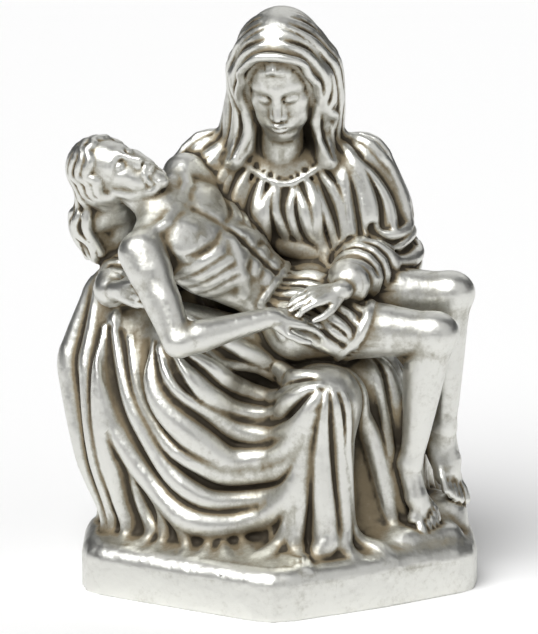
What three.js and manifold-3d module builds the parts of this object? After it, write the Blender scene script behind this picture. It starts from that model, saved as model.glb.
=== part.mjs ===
// A pieta statuette: a seated, veiled mother who holds her dead son across her lap, cast in one
// with its plinth. Millimetres, +Z up, the front faces -Y, and the origin is the middle of the
// plinth's underside, side to side.
import * as THREE from 'three';
import { mergeVertices } from 'three/addons/utils/BufferGeometryUtils.js';
import Module from 'manifold-3d';

// Driving sizes
const TOTAL_HEIGHT = 254;
const PLINTH_HEIGHT = 22;
const PLINTH_WIDTH = 174;
const PLINTH_FRONT = 82;
const PLINTH_BACK = 50;
const PLINTH_CORNER = 32;
const PLINTH_ROUND = 7;
const PLINTH_POINT = -4;
const FIGURE_SINK = 3;
const FIGURE_SHIFT = 2;
// How much wider the figures are than they are carved
const BREADTH = 1.05;

// The figures are carved in units of their own, then scaled to their height on the plinth
const CELL = 2.4;
const TRIANGLES = 9400;

// How far round a shape its field reaches, and round one that folds settle on; then the value beyond
const BAND = CELL + 0.1;
const WIDE = 20 * BAND;
const FAR = 24 * BAND;

const add = (a, b) => [a[0] + b[0], a[1] + b[1], a[2] + b[2]];
const sub = (a, b) => [a[0] - b[0], a[1] - b[1], a[2] - b[2]];
const mul = (a, s) => [a[0] * s, a[1] * s, a[2] * s];
const dot = (a, b) => a[0] * b[0] + a[1] * b[1] + a[2] * b[2];
const cross = (a, b) => [
  a[1] * b[2] - a[2] * b[1], a[2] * b[0] - a[0] * b[2], a[0] * b[1] - a[1] * b[0]];
const length = (a) => Math.sqrt(dot(a, a));
const unit = (a) => mul(a, 1 / length(a));
const mix = (a, b, t) => [0, 1, 2].map((i) => a[i] + (b[i] - a[i]) * t);
const blend = (a, b, t) => a + (b - a) * t;
const clamp = (v, low, high) => Math.min(Math.max(v, low), high);

// Three unit axes: across made square to along, the third, and along
function frame(across, along) {
  const w = unit(along);
  const u = unit(sub(across, mul(w, dot(across, w))));
  return [u, cross(w, u), w];
}

// The point that p is in a frame with that origin and those axes
function place(origin, axes, p) {
  return add(origin, add(mul(axes[0], p[0]), add(mul(axes[1], p[1]), mul(axes[2], p[2]))));
}

// count + 1 points on a smooth curve through the given ones
function curve(points, count) {
  const line = [];
  const last = points.length - 1;
  for (let i = 0; i <= count; i++) {
    const s = i / count * last;
    const k = Math.min(Math.floor(s), last - 1);
    const t = s - k;
    const near = [points[Math.max(k - 1, 0)], points[k], points[k + 1], points[Math.min(k + 2, last)]];
    const weights = [(-t + 2 * t * t - t ** 3) / 2, (2 - 5 * t * t + 3 * t ** 3) / 2,
      (t + 4 * t * t - 3 * t ** 3) / 2, (t ** 3 - t * t) / 2];
    line.push(points[0].map((_, c) => near.reduce((sum, p, j) => sum + weights[j] * p[c], 0)));
  }
  return line;
}

function smoothMin(a, b, k) {
  if (k <= 0) return Math.min(a, b);
  const h = Math.max(k - Math.abs(a - b), 0) / k;
  return Math.min(a, b) - h * h * k / 4;
}

// A shape is a box that holds it and a distance at every point
class Ball {
  constructor(centre, radius) {
    this.centre = centre;
    this.radius = radius;
    this.low = sub(centre, [radius, radius, radius]);
    this.high = add(centre, [radius, radius, radius]);
  }

  distance(p) {
    return length(sub(p, this.centre)) - this.radius;
  }
}

// A round rod from a to b whose radius goes from ra to rb
class Bone {
  constructor(a, b, ra, rb) {
    const r = Math.max(ra, rb);
    Object.assign(this, { a, ra, rb, run: sub(b, a) });
    this.run2 = Math.max(dot(this.run, this.run), 1e-9);
    this.low = a.map((v, i) => Math.min(v, b[i]) - r);
    this.high = a.map((v, i) => Math.max(v, b[i]) + r);
  }

  distance(p) {
    const q = sub(p, this.a);
    const t = clamp(dot(q, this.run) / this.run2, 0, 1);
    return length(sub(q, mul(this.run, t))) - (this.ra + (this.rb - this.ra) * t);
  }
}

// An ellipsoid: its centre, its three radii and its three axes
class Egg {
  constructor(centre, radii, axes) {
    Object.assign(this, { centre, radii, axes });
    const reach = [0, 1, 2].map((c) => Math.hypot(...axes.map((axis, i) => axis[c] * radii[i])));
    this.low = sub(centre, reach);
    this.high = add(centre, reach);
  }

  distance(p) {
    const q = sub(p, this.centre);
    const shares = this.axes.map((axis, i) => dot(q, axis) / this.radii[i]);
    const near = Math.hypot(...shares);
    const far = Math.hypot(...shares.map((s, i) => s / this.radii[i]));
    return near * (near - 1) / Math.max(far, 1e-6);
  }
}

// A box with round edges: its centre, its three half sizes, its edge radius and its axes
class Slab {
  constructor(centre, half, edge, axes) {
    Object.assign(this, { centre, half, edge, axes });
    const reach = [0, 1, 2].map((c) => axes.reduce((sum, axis, i) => sum + Math.abs(axis[c]) * half[i], 0));
    this.low = sub(centre, reach);
    this.high = add(centre, reach);
  }

  distance(p) {
    const q = sub(p, this.centre);
    const over = this.axes.map((axis, i) => Math.abs(dot(q, axis)) - (this.half[i] - this.edge));
    const outside = Math.hypot(...over.map((v) => Math.max(v, 0)));
    return outside + Math.min(Math.max(...over), 0) - this.edge;
  }
}

// Shapes joined and cut in order, each with a soft seam of its own width
class Form {
  constructor(band = BAND) {
    this.band = band;
    this.steps = [];
    this.low = [Infinity, Infinity, Infinity];
    this.high = [-Infinity, -Infinity, -Infinity];
  }

  add(shape, seam = 0) {
    this.take(1, shape, seam);
    this.low = this.low.map((v, i) => Math.min(v, shape.low[i]));
    this.high = this.high.map((v, i) => Math.max(v, shape.high[i]));
  }

  cut(shape, seam = 0) {
    this.take(-1, shape, seam);
  }

  take(sign, shape, seam) {
    const pad = seam + this.band;
    const low = sub(shape.low, [pad, pad, pad]);
    const high = add(shape.high, [pad, pad, pad]);
    this.steps.push({ sign, shape, seam, low, high });
  }

  distance(p) {
    let value = FAR;
    for (const { sign, shape, seam, low, high } of this.steps) {
      if (p[0] <= low[0] || p[1] <= low[1] || p[2] <= low[2]) continue;
      if (p[0] >= high[0] || p[1] >= high[1] || p[2] >= high[2]) continue;
      value = sign * smoothMin(sign * value, shape.distance(p), seam);
    }
    return value;
  }
}

// A round cord along points. Its radii are given, or are each point's fourth number
function strand(points, radii, band = BAND) {
  const form = new Form(band);
  for (let i = 0; i + 1 < points.length; i++) {
    const ra = radii ? radii[i] : points[i][3];
    const rb = radii ? radii[i + 1] : points[i + 1][3];
    form.add(new Bone(points[i].slice(0, 3), points[i + 1].slice(0, 3), ra, rb));
  }
  return form;
}

// A strand whose points and radii are in a frame and in shares of size
function strandIn(centre, axes, size, points, radii) {
  return strand(points.map((p) => place(centre, axes, mul(p, size))), radii.map((r) => r * size));
}

// The unit way in which the form's distance grows fastest at a point
function slope(form, p) {
  const step = 0.4;
  return unit([[step, 0, 0], [0, step, 0], [0, 0, step]].map(
    (side) => form.distance(add(p, side)) - form.distance(sub(p, side)) + 1e-9));
}

// Moves each point of each guide to the form's surface, then in by its fifth number
function settle(form, guides) {
  return guides.map((guide) => guide.map(([x, y, z, radius, depth]) => {
    let p = [x, y, z];
    for (let i = 0; i < 7; i++) {
      p = sub(p, mul(slope(form, p), 0.9 * form.distance(p)));
    }
    return [...sub(p, mul(slope(form, p), depth)), radius];
  }));
}

// Joints of the two figures, [right, back, up] from the middle of the plinth's top
const M_PELVIS = [2, 20, 66];
const M_WAIST = [1, 16, 98];
const M_CHEST = [0, 6, 138];
const M_NECK = [-1, 1, 166];
const M_HEAD = [-1, -12, 195];
const M_FACE = [-0.16, -0.87, -0.42];
const M_CROWN = [-0.12, -0.45, 0.88];
const M_HEAD_SIZE = 45;
const M_SHOULDERS = [[-29, 8, 158], [31, 7, 157]];
const M_ELBOWS = [[-50, 14, 116], [40, 4, 118]];
const M_WRISTS = [[-70, -24, 108], [22, -38, 110]];
const M_HIPS = [[-14, 18, 68], [15, 18, 68]];
const M_KNEES = [[-38, -32, 72], [15, -44, 64]];
const M_ANKLES = [[-34, -28, 8], [11, -40, 10]];

const S_PELVIS = [6, -18, 97];
const S_NECK = [-50, -25, 143];
const S_CHEST_FACES = [0.5, -0.62, 0.6];
const S_HEAD = [-67, -22, 158];
const S_FACE = [0.28, -0.7, 0.66];
const S_CROWN = [-0.86, 0.06, 0.5];
const S_HEAD_SIZE = 36;
const S_ELBOW_NEAR = [-42, -59, 93];
const S_WRIST_NEAR = [-6, -48, 101];
const S_ELBOW_FAR = [-8, 0, 128];
const S_WRIST_FAR = [35, -13, 112];
const S_HIPS = [[7, -26, 92], [14, -8, 102]];
const S_KNEES = [[60, -36, 91], [68, -14, 104]];
const S_ANKLES = [[51, -32, 35], [66, -14, 46]];

// A head without hair, size from chin to crown, its eyes closed
function head(centre, face, crown, size) {
  const axes = frame(face, crown);
  const at = (f, s, c) => place(centre, axes, [f * size, s * size, c * size]);
  const egg = (f, s, c, rf, rs, rc) => new Egg(at(f, s, c), [rf * size, rs * size, rc * size], axes);
  const line = (points, radii) => strandIn(centre, axes, size, points, radii);
  const form = new Form();
  form.add(egg(-0.07, 0, 0.12, 0.395, 0.31, 0.38), 0);
  form.add(egg(0.08, 0, -0.13, 0.245, 0.235, 0.33), 0.1 * size);
  form.add(egg(0.255, 0, -0.41, 0.085, 0.085, 0.08), 0.08 * size);
  for (const s of [-1, 1]) {
    form.add(
      line(
        [[-0.02, 0.2 * s, -0.2], [0.02, 0.18 * s, -0.3], [0.2, 0.06 * s, -0.425]], [0.05, 0.05, 0.05]
      ),
      0.09 * size
    );
    form.add(egg(0.2, 0.165 * s, -0.085, 0.07, 0.075, 0.06), 0.08 * size);
    form.add(egg(0.2, 0.13 * s, -0.19, 0.08, 0.085, 0.11), 0.08 * size);
    form.add(egg(0.18, 0.13 * s, -0.29, 0.085, 0.08, 0.09), 0.08 * size);
    form.cut(egg(0.385, 0.1 * s, 0.0, 0.085, 0.07, 0.05), 0.06 * size);
    form.add(
      line(
        [[0.295, 0.04 * s, 0.08], [0.278, 0.12 * s, 0.105], [0.215, 0.19 * s, 0.08]],
        [0.022, 0.026, 0.02]
      ),
      0.07 * size
    );
    form.add(egg(0.264, 0.11 * s, -0.008, 0.062, 0.07, 0.052), 0.014 * size);
  }
  form.add(
    line(
      [[0.308, 0, 0.1], [0.335, 0, 0.03], [0.362, 0, -0.06], [0.408, 0, -0.158]],
      [0.03, 0.03, 0.028, 0.034]
    ),
    0.05 * size
  );
  form.add(egg(0.28, 0, -0.28, 0.082, 0.115, 0.1), 0.06 * size);
  for (const s of [-1, 1]) {
    form.add(line([[0.3, 0.03 * s, -0.04], [0.34, 0.036 * s, -0.17]], [0.02, 0.032]), 0.045 * size);
    form.add(egg(0.356, 0.047 * s, -0.182, 0.032, 0.02, 0.026), 0.022 * size);
    form.add(
      line(
        [[0.372, 0, -0.268], [0.364, 0.04 * s, -0.266], [0.322, 0.1 * s, -0.292]],
        [0.018, 0.018, 0.008]
      ),
      0.016 * size
    );
    form.add(
      line(
        [[0.37, 0, -0.322], [0.358, 0.04 * s, -0.319], [0.322, 0.088 * s, -0.301]],
        [0.021, 0.019, 0.008]
      ),
      0.016 * size
    );
  }
  form.cut(
    line([[0.37, -0.045, -0.368], [0.382, 0, -0.366], [0.37, 0.045, -0.368]], [0.012, 0.018, 0.012]),
    0.04 * size
  );
  return form;
}

// Fingers bend towards palm; thumb is 1 or -1 for the side it is on; curl is in degrees a joint
function hand(wrist, along, palm, thumb, size, curls, thumb_curl) {
  const axes = frame(palm, along);
  const at = (a, c, p) => place(wrist, axes, [p * size, c * thumb * size, a * size]);
  const form = new Form();
  const spread = [0.155, 0.052, -0.052, -0.15];
  const reach = [0.45, 0.49, 0.46, 0.37];
  const start = [0.47, 0.49, 0.47, 0.43];
  form.add(new Bone(at(-0.04, 0.03, 0), at(0.1, 0.03, 0), 0.125 * size, 0.12 * size), 0);
  for (let i = 0; i < 4; i++) {
    form.add(
      new Bone(at(0.08, 0.4 * spread[i], 0.0), at(start[i], spread[i], 0.0), 0.1 * size, 0.068 * size),
      0.03 * size
    );
  }
  form.add(new Ball(at(0.2, 0.13, 0.05), 0.1 * size), 0.05 * size);
  for (let i = 0; i < 4; i++) {
    let bend = curls[i] * Math.PI / 180;
    let tip = at(start[i], spread[i], 0);
    for (let j = 0; j < 3; j++) {
      const part = reach[i] * [0.45, 0.3, 0.25][j];
      const way = place([0, 0, 0], axes, [Math.sin(bend), spread[i] * thumb * 0.5, Math.cos(bend)]);
      const next = add(tip, mul(way, part * size));
      form.add(
        new Bone(tip, next, [0.054, 0.05, 0.045][j] * size, [0.05, 0.045, 0.036][j] * size),
        0.012 * size
      );
      tip = next;
      bend = bend + curls[i] * [1.1, 0.8, 0][j] * Math.PI / 180;
    }
  }
  const turn = thumb_curl * Math.PI / 180;
  const knuckle = at(0.26, 0.27, 0.1);
  const joint = add(
    knuckle, mul(place([0, 0, 0], axes, [Math.sin(turn), 0.45 * thumb, Math.cos(turn)]), 0.17 * size)
  );
  const end = add(
    joint,
    mul(place([0, 0, 0], axes, [Math.sin(turn) * 1.2, 0.1 * thumb, Math.cos(turn)]), 0.15 * size)
  );
  form.add(new Bone(at(0.1, 0.12, 0.06), knuckle, 0.085 * size, 0.062 * size), 0.04 * size);
  form.add(new Bone(knuckle, joint, 0.062 * size, 0.055 * size), 0.015 * size);
  form.add(new Bone(joint, end, 0.056 * size, 0.042 * size), 0.01 * size);
  return form;
}

// A bare foot: toes point along, the sole faces down, big is 1 or -1 for the big toe's side
function foot(ankle, along, down, big, size, curl) {
  const axes = frame(mul(down, -1), along);
  const at = (a, c, u) => place(ankle, axes, [u * size, c * big * size, a * size]);
  const form = new Form();
  form.add(new Bone(at(0, 0, 0), at(-0.06, 0, -0.1), 0.104 * size, 0.115 * size), 0);
  form.add(new Ball(at(-0.15, 0, -0.17), 0.118 * size), 0.06 * size);
  form.add(
    new Bone(at(0.02, 0.02, -0.05), at(0.34, 0.05, -0.15), 0.12 * size, 0.095 * size), 0.06 * size
  );
  form.add(new Bone(at(-0.06, 0, -0.12), at(0.42, 0, -0.2), 0.115 * size, 0.09 * size), 0.05 * size);
  form.add(
    new Bone(at(0.34, 0.05, -0.15), at(0.55, 0.06, -0.23), 0.095 * size, 0.062 * size), 0.05 * size
  );
  form.add(
    new Bone(at(-0.1, -0.03, -0.21), at(0.5, -0.07, -0.25), 0.09 * size, 0.062 * size), 0.06 * size
  );
  form.add(
    new Bone(at(0.52, 0.12, -0.235), at(0.46, -0.1, -0.25), 0.068 * size, 0.055 * size), 0.05 * size
  );
  for (const s of [-1, 1]) {
    form.add(new Ball(at(-0.01, 0.08 * s, -0.02 + 0.02 * s), 0.038 * size), 0.04 * size);
  }
  const sides = [0.115, 0.035, -0.025, -0.08, -0.13];
  const ends = [0.76, 0.75, 0.715, 0.67, 0.61];
  const thick = [0.058, 0.042, 0.04, 0.038, 0.038];
  for (let i = 0; i < 5; i++) {
    const root = at(ends[i] - 0.28, sides[i] * 0.72, -0.215);
    const joint = at(ends[i] - 0.11, sides[i], -0.222 + 0.01 * curl);
    const tip = at(ends[i], sides[i] * 1.04, -0.248 - 0.012 * curl);
    const thickness = thick[i] * size;
    form.add(strand([root, joint, tip], [0.8 * thickness, 0.9 * thickness, thickness]), 0.014 * size);
  }
  return form;
}

// A bare arm with its shoulder and muscles
function arm(shoulder, elbow, wrist, front) {
  const form = new Form();
  const upper = (t, d) => add(mix(shoulder, elbow, t), mul(front, d));
  const lower = (t, d) => add(mix(elbow, wrist, t), mul(front, d));
  form.add(new Bone(upper(0, 0), upper(0.2, 0.6), 8.8, 8.2), 0);
  form.add(strand([upper(0, 0), upper(0.22, 0), upper(0.55, 0), upper(1, 0)], [8.6, 8.2, 7.2, 5.9]), 3);
  form.add(strand([upper(0.3, 2), upper(0.55, 2.4), upper(0.85, 1.2)], [4.6, 5.6, 3.8]), 3);
  form.add(strand([upper(0.25, -2.2), upper(0.55, -2), upper(0.95, -1.5)], [4.6, 5.2, 3.6]), 3);
  form.add(new Ball(upper(1.02, -1.6), 4.3), 2);
  form.add(
    strand([lower(0, 0), lower(0.22, 0.5), lower(0.55, 0.2), lower(1, 0)], [5.9, 6.9, 5.5, 4.2]), 2.5
  );
  return form;
}

// A bare leg: front is the way the knee points
function leg(hip, knee, ankle, front) {
  const form = new Form();
  const upper = (t, d) => add(mix(hip, knee, t), mul(front, d));
  const lower = (t, d) => add(mix(knee, ankle, t), mul(front, d));
  const axes = frame(front, sub(knee, hip));
  form.add(strand([upper(-0.05, 0), upper(0.3, 0), upper(0.65, 0), upper(1, 0)], [14, 13, 10.8, 8.6]), 0);
  form.add(strand([upper(0.25, 2.5), upper(0.6, 3), upper(0.9, 1.5)], [9, 8, 5]), 4);
  form.add(new Ball(upper(0.99, 1.2), 7.4), 4);
  form.add(new Egg(add(knee, mul(unit(sub(knee, hip)), 4.4)), [4.4, 4.2, 3.6], axes), 3.5);
  const calf = unit(sub(knee, hip));
  const shin = (t, d) => add(mix(knee, ankle, t), mul(calf, d));
  form.add(
    strand(
      [shin(0, 0), shin(0.22, -1.2), shin(0.5, -0.8), shin(0.8, 0), shin(1, 0)],
      [8.2, 8.3, 7.2, 5.5, 4.5]
    ),
    3
  );
  form.add(strand([shin(0.12, -3.2), shin(0.3, -3.6), shin(0.55, -2.2)], [5.4, 6.3, 4.0]), 3);
  form.add(strand([shin(0.1, 3), shin(0.5, 2.6), shin(0.9, 1.4)], [3, 2.4, 2]), 2.5);
  return form;
}

// The son's bare trunk, from pelvis to neck
function trunk(pelvis, neck, faces) {
  const axes = frame(faces, sub(neck, pelvis));
  const tall = length(sub(neck, pelvis));
  const at = (f, s, c) => place(pelvis, axes, [f, s, c * tall]);
  const egg = (f, s, c, rf, rs, rc) => new Egg(at(f, s, c), [rf, rs, rc], axes);
  const form = new Form(WIDE);
  form.add(egg(0.5, 0, 0.66, 14.2, 22, 25), 0);
  form.add(egg(-0.6, 0, 0.3, 11.2, 16.6, 20), 8);
  form.add(egg(0, 0, 0.0, 13.5, 19.5, 16), 6);
  form.add(strand([at(-1, -25, 0.95), at(0, 0, 0.97), at(-1, 25, 0.95)], [7.5, 8.5, 7.5], WIDE), 6);
  const ridges = [];
  const grooves = [];
  for (const s of [-1, 1]) {
    form.add(egg(6.6, 9.6 * s, 0.8, 5.4, 12, 9.4), 3);
    form.add(
      strand([at(-4, 16 * s, 0.82), at(-3, 17 * s, 0.6), at(-2, 13 * s, 0.4)], [6.5, 5.5, 4], WIDE), 5
    );
    form.add(
      strand(
        [at(8.2, 2.5 * s, 0.94), at(8.5, 12 * s, 0.955), at(3, 24 * s, 1.0)], [1.9, 1.7, 2.0], WIDE
      ),
      2.4
    );
    form.add(strand([at(-3, 17 * s, 0.95), at(3, 15 * s, 0.88), at(8, 9 * s, 0.84)], [5, 5, 4], WIDE), 4);
    // The arch under the ribs, then the ribs
    ridges.push([
      [...at(14, 1.5 * s, 0.6), 2.4, 1.7], [...at(12.5, 6 * s, 0.54), 2.4, 1.3],
      [...at(10.5, 11 * s, 0.45), 2.2, 1.2], [...at(6, 16 * s, 0.36), 1.8, 1.6]
    ]);
    for (let i = 0; i < 4; i++) {
      const c = 0.68 - 0.07 * i;
      ridges.push([
        [...at(10 - i, 10 * s, c - 0.05), 1.2, 1], [...at(7, 15 * s, c - 0.02), 1.4, 0.8],
        [...at(2, 20 * s, c + 0.02), 1.4, 0.8], [...at(-3, 22 * s, c + 0.06), 1.2, 1]
      ]);
    }
    // The muscles beside the midline, then its lower groove at the flank
    for (let i = 0; i < 3; i++) {
      ridges.push([
        [...at(12, 2.6 * s, 0.5 - 0.1 * i), 2, 1.4], [...at(12, 4.6 * s, 0.495 - 0.1 * i), 2.4, 1.7],
        [...at(11, 6.4 * s, 0.49 - 0.1 * i), 2, 1.4]
      ]);
    }
    grooves.push([
      [...at(13, 3 * s, 0.68), 0.8, -0.6], [...at(13, 9 * s, 0.675), 1, -0.5],
      [...at(11, 16 * s, 0.71), 1, -0.6], [...at(8, 20 * s, 0.76), 0.8, -0.7]
    ]);
    form.add(new Ball(at(11.6, 11.5 * s, 0.745), 1), 1.6);
  }
  grooves.push([
    [...at(15, 0, 0.88), 1, -0.9], [...at(15, 0, 0.76), 1.2, -0.7], [...at(15, 0, 0.64), 1, -0.6],
    [...at(13, 0, 0.5), 1, -0.6], [...at(12, 0, 0.36), 1, -0.6], [...at(12, 0, 0.26), 0.8, -0.6]
  ]);
  const lines = [];
  for (const line of ridges) {
    lines.push(curve(line, 12));
  }
  const cuts = [];
  for (const line of grooves) {
    cuts.push(curve(line, 15));
  }
  const raised = settle(form, lines);
  const sunk = settle(form, cuts);
  for (const line of raised) {
    form.add(strand(line, null), 2.6);
  }
  for (const line of sunk) {
    form.cut(strand(line, null), 2.6);
  }
  form.cut(new Ball(at(11.4, 0, 0.235), 1.4), 1.2);
  return form;
}

// The points in world numbers of ones in a frame and in shares of size, with their radii
function pinned(centre, axes, size, points) {
  const out = [];
  for (const p of points) {
    out.push([...place(centre, axes, mul(p, size)), p[3] * size]);
  }
  return out;
}

// Folds between two guides, whose points are [x, y, z, height] and settle on base: ridges that
// wander a little, long and short by turns, with wide hollows between them. They rise from the
// base at their start, and end is the share of their height that they keep at their other end.
function pleats(form, base, first, last, count, soft, end) {
  const ridges = [];
  const hollows = [];
  for (let i = 0; i < count; i++) {
    const swell = 1 + 0.22 * Math.sin(1.9 * i + 0.7 * count);
    const dip = 0.6 + 0.3 * Math.sin(2.7 * i + 1.3 * count);
    const ridge = [];
    const hollow = [];
    for (let j = 0; j < first.length; j++) {
      const gap = length(sub(first[j], last[j])) / (count - 1);
      const t = (i + 0.22 * Math.sin(1.7 * j + 2.4 * i + count)) / (count - 1);
      let tall = Math.min(blend(first[j][3], last[j][3], t), 0.5 * gap) * swell;
      if (j === 0) {
        tall = 0.12 * tall;
      }
      if (j === 1 && i % 2 === 1 && first.length > 3) {
        tall = 0.5 * tall;
      }
      if (j === first.length - 1) {
        tall = end * tall;
      }
      const wide = 0.5 * gap;
      ridge.push([...mix(first[j], last[j], t), tall, 0.1 * tall]);
      hollow.push(
        [
          ...mix(first[j], last[j], t + 0.5 / (count - 1)), wide,
          Math.min(dip * tall, 0.9 * wide) - wide
        ]
      );
    }
    ridges.push(curve(ridge, 10 * (first.length - 1)));
    hollows.push(curve(hollow, 6 * (first.length - 1)));
  }
  hollows.pop();
  for (const line of settle(base, hollows)) {
    form.cut(strand(line, null), 0.5 * soft);
  }
  for (const line of settle(base, ridges)) {
    form.add(strand(line, null), soft);
  }
}

// A round ring about the line through centre that runs along way
function ring(centre, way, radius, thick) {
  const axes = frame([0.3, -0.5, 0.8], way);
  const points = [];
  for (let i = 0; i < 13; i++) {
    const turn = i * Math.PI / 6;
    points.push([...place(centre, axes, [radius * Math.cos(turn), radius * Math.sin(turn), 0]), thick]);
  }
  return strand(points, null);
}

// Locks of hair between two guides, whose points are [x, y, z, radius] and settle on base
function locks(form, base, first, last, count, waves, seam) {
  const lines = [];
  const across = unit(sub(last[1], first[1]));
  for (let i = 0; i < count; i++) {
    const guide = [];
    for (let j = 0; j < first.length; j++) {
      guide.push(
        [...mix(first[j], last[j], i / (count - 1)), blend(first[j][3], last[j][3], i / (count - 1)), 0]
      );
    }
    const line = [];
    const smooth = curve(guide, 24);
    for (let k = 0; k < smooth.length; k++) {
      const p = smooth[k];
      const sway = 0.75 * p[3] * Math.sin(waves * 2 * Math.PI * k / 24 + 1.3 * i);
      line.push([...add(p, mul(across, sway)), p[3], 0]);
    }
    lines.push(line);
  }
  for (const line of settle(base, lines)) {
    form.add(strand(line, null), seam);
  }
}

// The mother's body, arms and sleeves, without the folds
function gown() {
  const form = new Form(WIDE);
  const level = frame([0, -1, 0], [0, 0, 1]);
  const body = frame([0, -1, 0], sub(M_CHEST, M_WAIST));
  form.add(new Egg(M_CHEST, [14.5, 25, 27], body), 0);
  form.add(new Egg(M_WAIST, [15, 22, 22], body), 8);
  form.add(new Egg(M_PELVIS, [20, 28, 22], level), 10);
  form.add(new Egg(mix(M_WAIST, M_CHEST, 0.3), [18, 19, 20], body), 8);
  form.add(strand([M_SHOULDERS[0], add(M_NECK, [0, 4, -6]), M_SHOULDERS[1]], [11, 9, 11], WIDE), 7);
  for (const s of [-1, 1]) {
    form.add(new Egg(add(M_CHEST, [10 * s, -10, -3]), [8, 10, 11], body), 8);
    form.add(strand([[24 * s, 3, 148], [27 * s, 0, 128], [22 * s, -4, 106]], [11, 12, 13], WIDE), 8);
  }
  form.add(
    strand([M_SHOULDERS[0], mix(M_SHOULDERS[0], M_ELBOWS[0], 0.5), M_ELBOWS[0]], [12.5, 15.5, 15], WIDE),
    3
  );
  form.add(strand([M_ELBOWS[0], M_WRISTS[0]], [15, 6.5], WIDE), 5);
  form.add(
    strand([M_SHOULDERS[1], mix(M_SHOULDERS[1], M_ELBOWS[1], 0.5), M_ELBOWS[1]], [12.5, 15, 14.5], WIDE),
    3
  );
  form.add(strand([M_ELBOWS[1], mix(M_ELBOWS[1], M_WRISTS[1], 0.78)], [14.5, 8.5], WIDE), 5);
  return form;
}

// The gown with its gathers, its folds and its neckline
function dress() {
  const base = gown();
  const form = new Form();
  form.add(base, 0);
  // The bodice: folds from the gathered neckline down to the waist
  pleats(
    form, base,
    [
      [-18, -5, 164, 1.2], [-24, -10, 156, 1.8], [-31, -13, 144, 2.6], [-32, -12, 128, 2.6],
      [-30, -14, 114, 2.2], [-20, -16, 100, 1.4]
    ],
    [
      [-1, -14, 153, 1.2], [-2, -15, 149, 1.8], [-3, -17, 140, 2.6], [-1, -18, 126, 2.6],
      [2, -19, 112, 2.4], [6, -19, 98, 1.4]
    ],
    7, 1.4, 0.5
  );
  pleats(
    form, base,
    [
      [2, -14, 153, 1.2], [3, -15, 149, 1.8], [3, -17, 140, 2.6], [5, -18, 126, 2.6],
      [8, -19, 112, 2.4], [11, -19, 98, 1.4]
    ],
    [
      [18, -5, 164, 1.2], [24, -9, 156, 1.8], [32, -13, 144, 2.6], [34, -12, 128, 2.6],
      [31, -13, 114, 2.2], [26, -17, 100, 1.4]
    ],
    7, 1.4, 0.5
  );
  // Her right sleeve: its upper part, then its lower part
  pleats(form, base, [[-17, -1, 167, 1], [-23, -6, 160, 3], [-33, -10, 140, 4], [-40, -8, 112, 3]],
    [[-20, 14, 171, 1], [-34, 16, 166, 3], [-60, 18, 142, 4], [-68, 18, 116, 3]], 8, 1.6, 0.3);
  pleats(form, base, [[-46, 0, 102, 3], [-56, -12, 98, 4], [-66, -20, 97, 2]],
    [[-62, 22, 124, 3], [-74, -2, 122, 4], [-76, -18, 116, 2]], 4, 2.6, 0.2);
  // Her left sleeve: its upper part, then folds that go round it
  pleats(form, base, [[18, -2, 166, 1], [24, -8, 158, 3], [28, -12, 140, 4], [30, -14, 112, 3]],
    [[20, 14, 170, 1], [36, 14, 164, 3], [56, 12, 140, 4], [56, 12, 114, 3]], 8, 1.6, 0.3);
  pleats(form, base, [[36, -9, 132, 0.3], [42, -8, 128, 2], [50, 0, 132, 2.6], [54, 14, 140, 0.5]],
    [[34, -14, 108, 0.3], [44, -12, 104, 2.4], [54, -2, 106, 2.8], [58, 14, 112, 0.5]], 5, 1.6, 0.3);
  // The backs of both sleeves
  pleats(form, base, [[-20, 20, 166, 1], [-40, 28, 152, 3], [-54, 30, 134, 4], [-62, 28, 112, 2.4]],
    [[-18, 20, 150, 1], [-28, 28, 136, 3], [-36, 34, 120, 4], [-42, 32, 104, 2.4]], 3, 3, 0.2);
  pleats(form, base, [[20, 20, 166, 1], [42, 24, 152, 3], [54, 22, 134, 4], [56, 20, 112, 2.4]],
    [[18, 20, 150, 1], [28, 26, 136, 3], [34, 24, 120, 4], [38, 22, 106, 2.4]], 3, 3, 0.2);
  // The cuffs and the gathers behind them
  const cuffs = [[M_ELBOWS[0], M_WRISTS[0], 1, 6.2], [M_ELBOWS[1], M_WRISTS[1], 0.82, 7.6]];
  for (const [elbow, wrist, share, radius] of cuffs) {
    for (let k = 0; k < 5; k++) {
      const way = add(unit(sub(wrist, elbow)), [0.16 * Math.sin(2 * k), 0, 0.2 * Math.cos(2.6 * k)]);
      form.add(
        ring(
          mix(elbow, wrist, share - 0.11 * k), way, radius + (0.95 + 0.25 * share) * k, 1.5 + 0.15 * k
        ),
        1.6
      );
    }
  }
  // The rolled neckline
  const edge = [];
  const collar = curve([[-20, -2, 167], [-16, -9, 160], [-8, -14, 154.5], [0, -15, 152], [8, -14, 154.5],
    [16, -9, 160], [20, -2, 167]], 36);
  for (const p of collar) {
    edge.push([...p, 1.3, -0.2]);
  }
  for (const line of settle(base, [edge])) {
    form.add(strand(line, null), 0.9);
  }
  return form;
}

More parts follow.
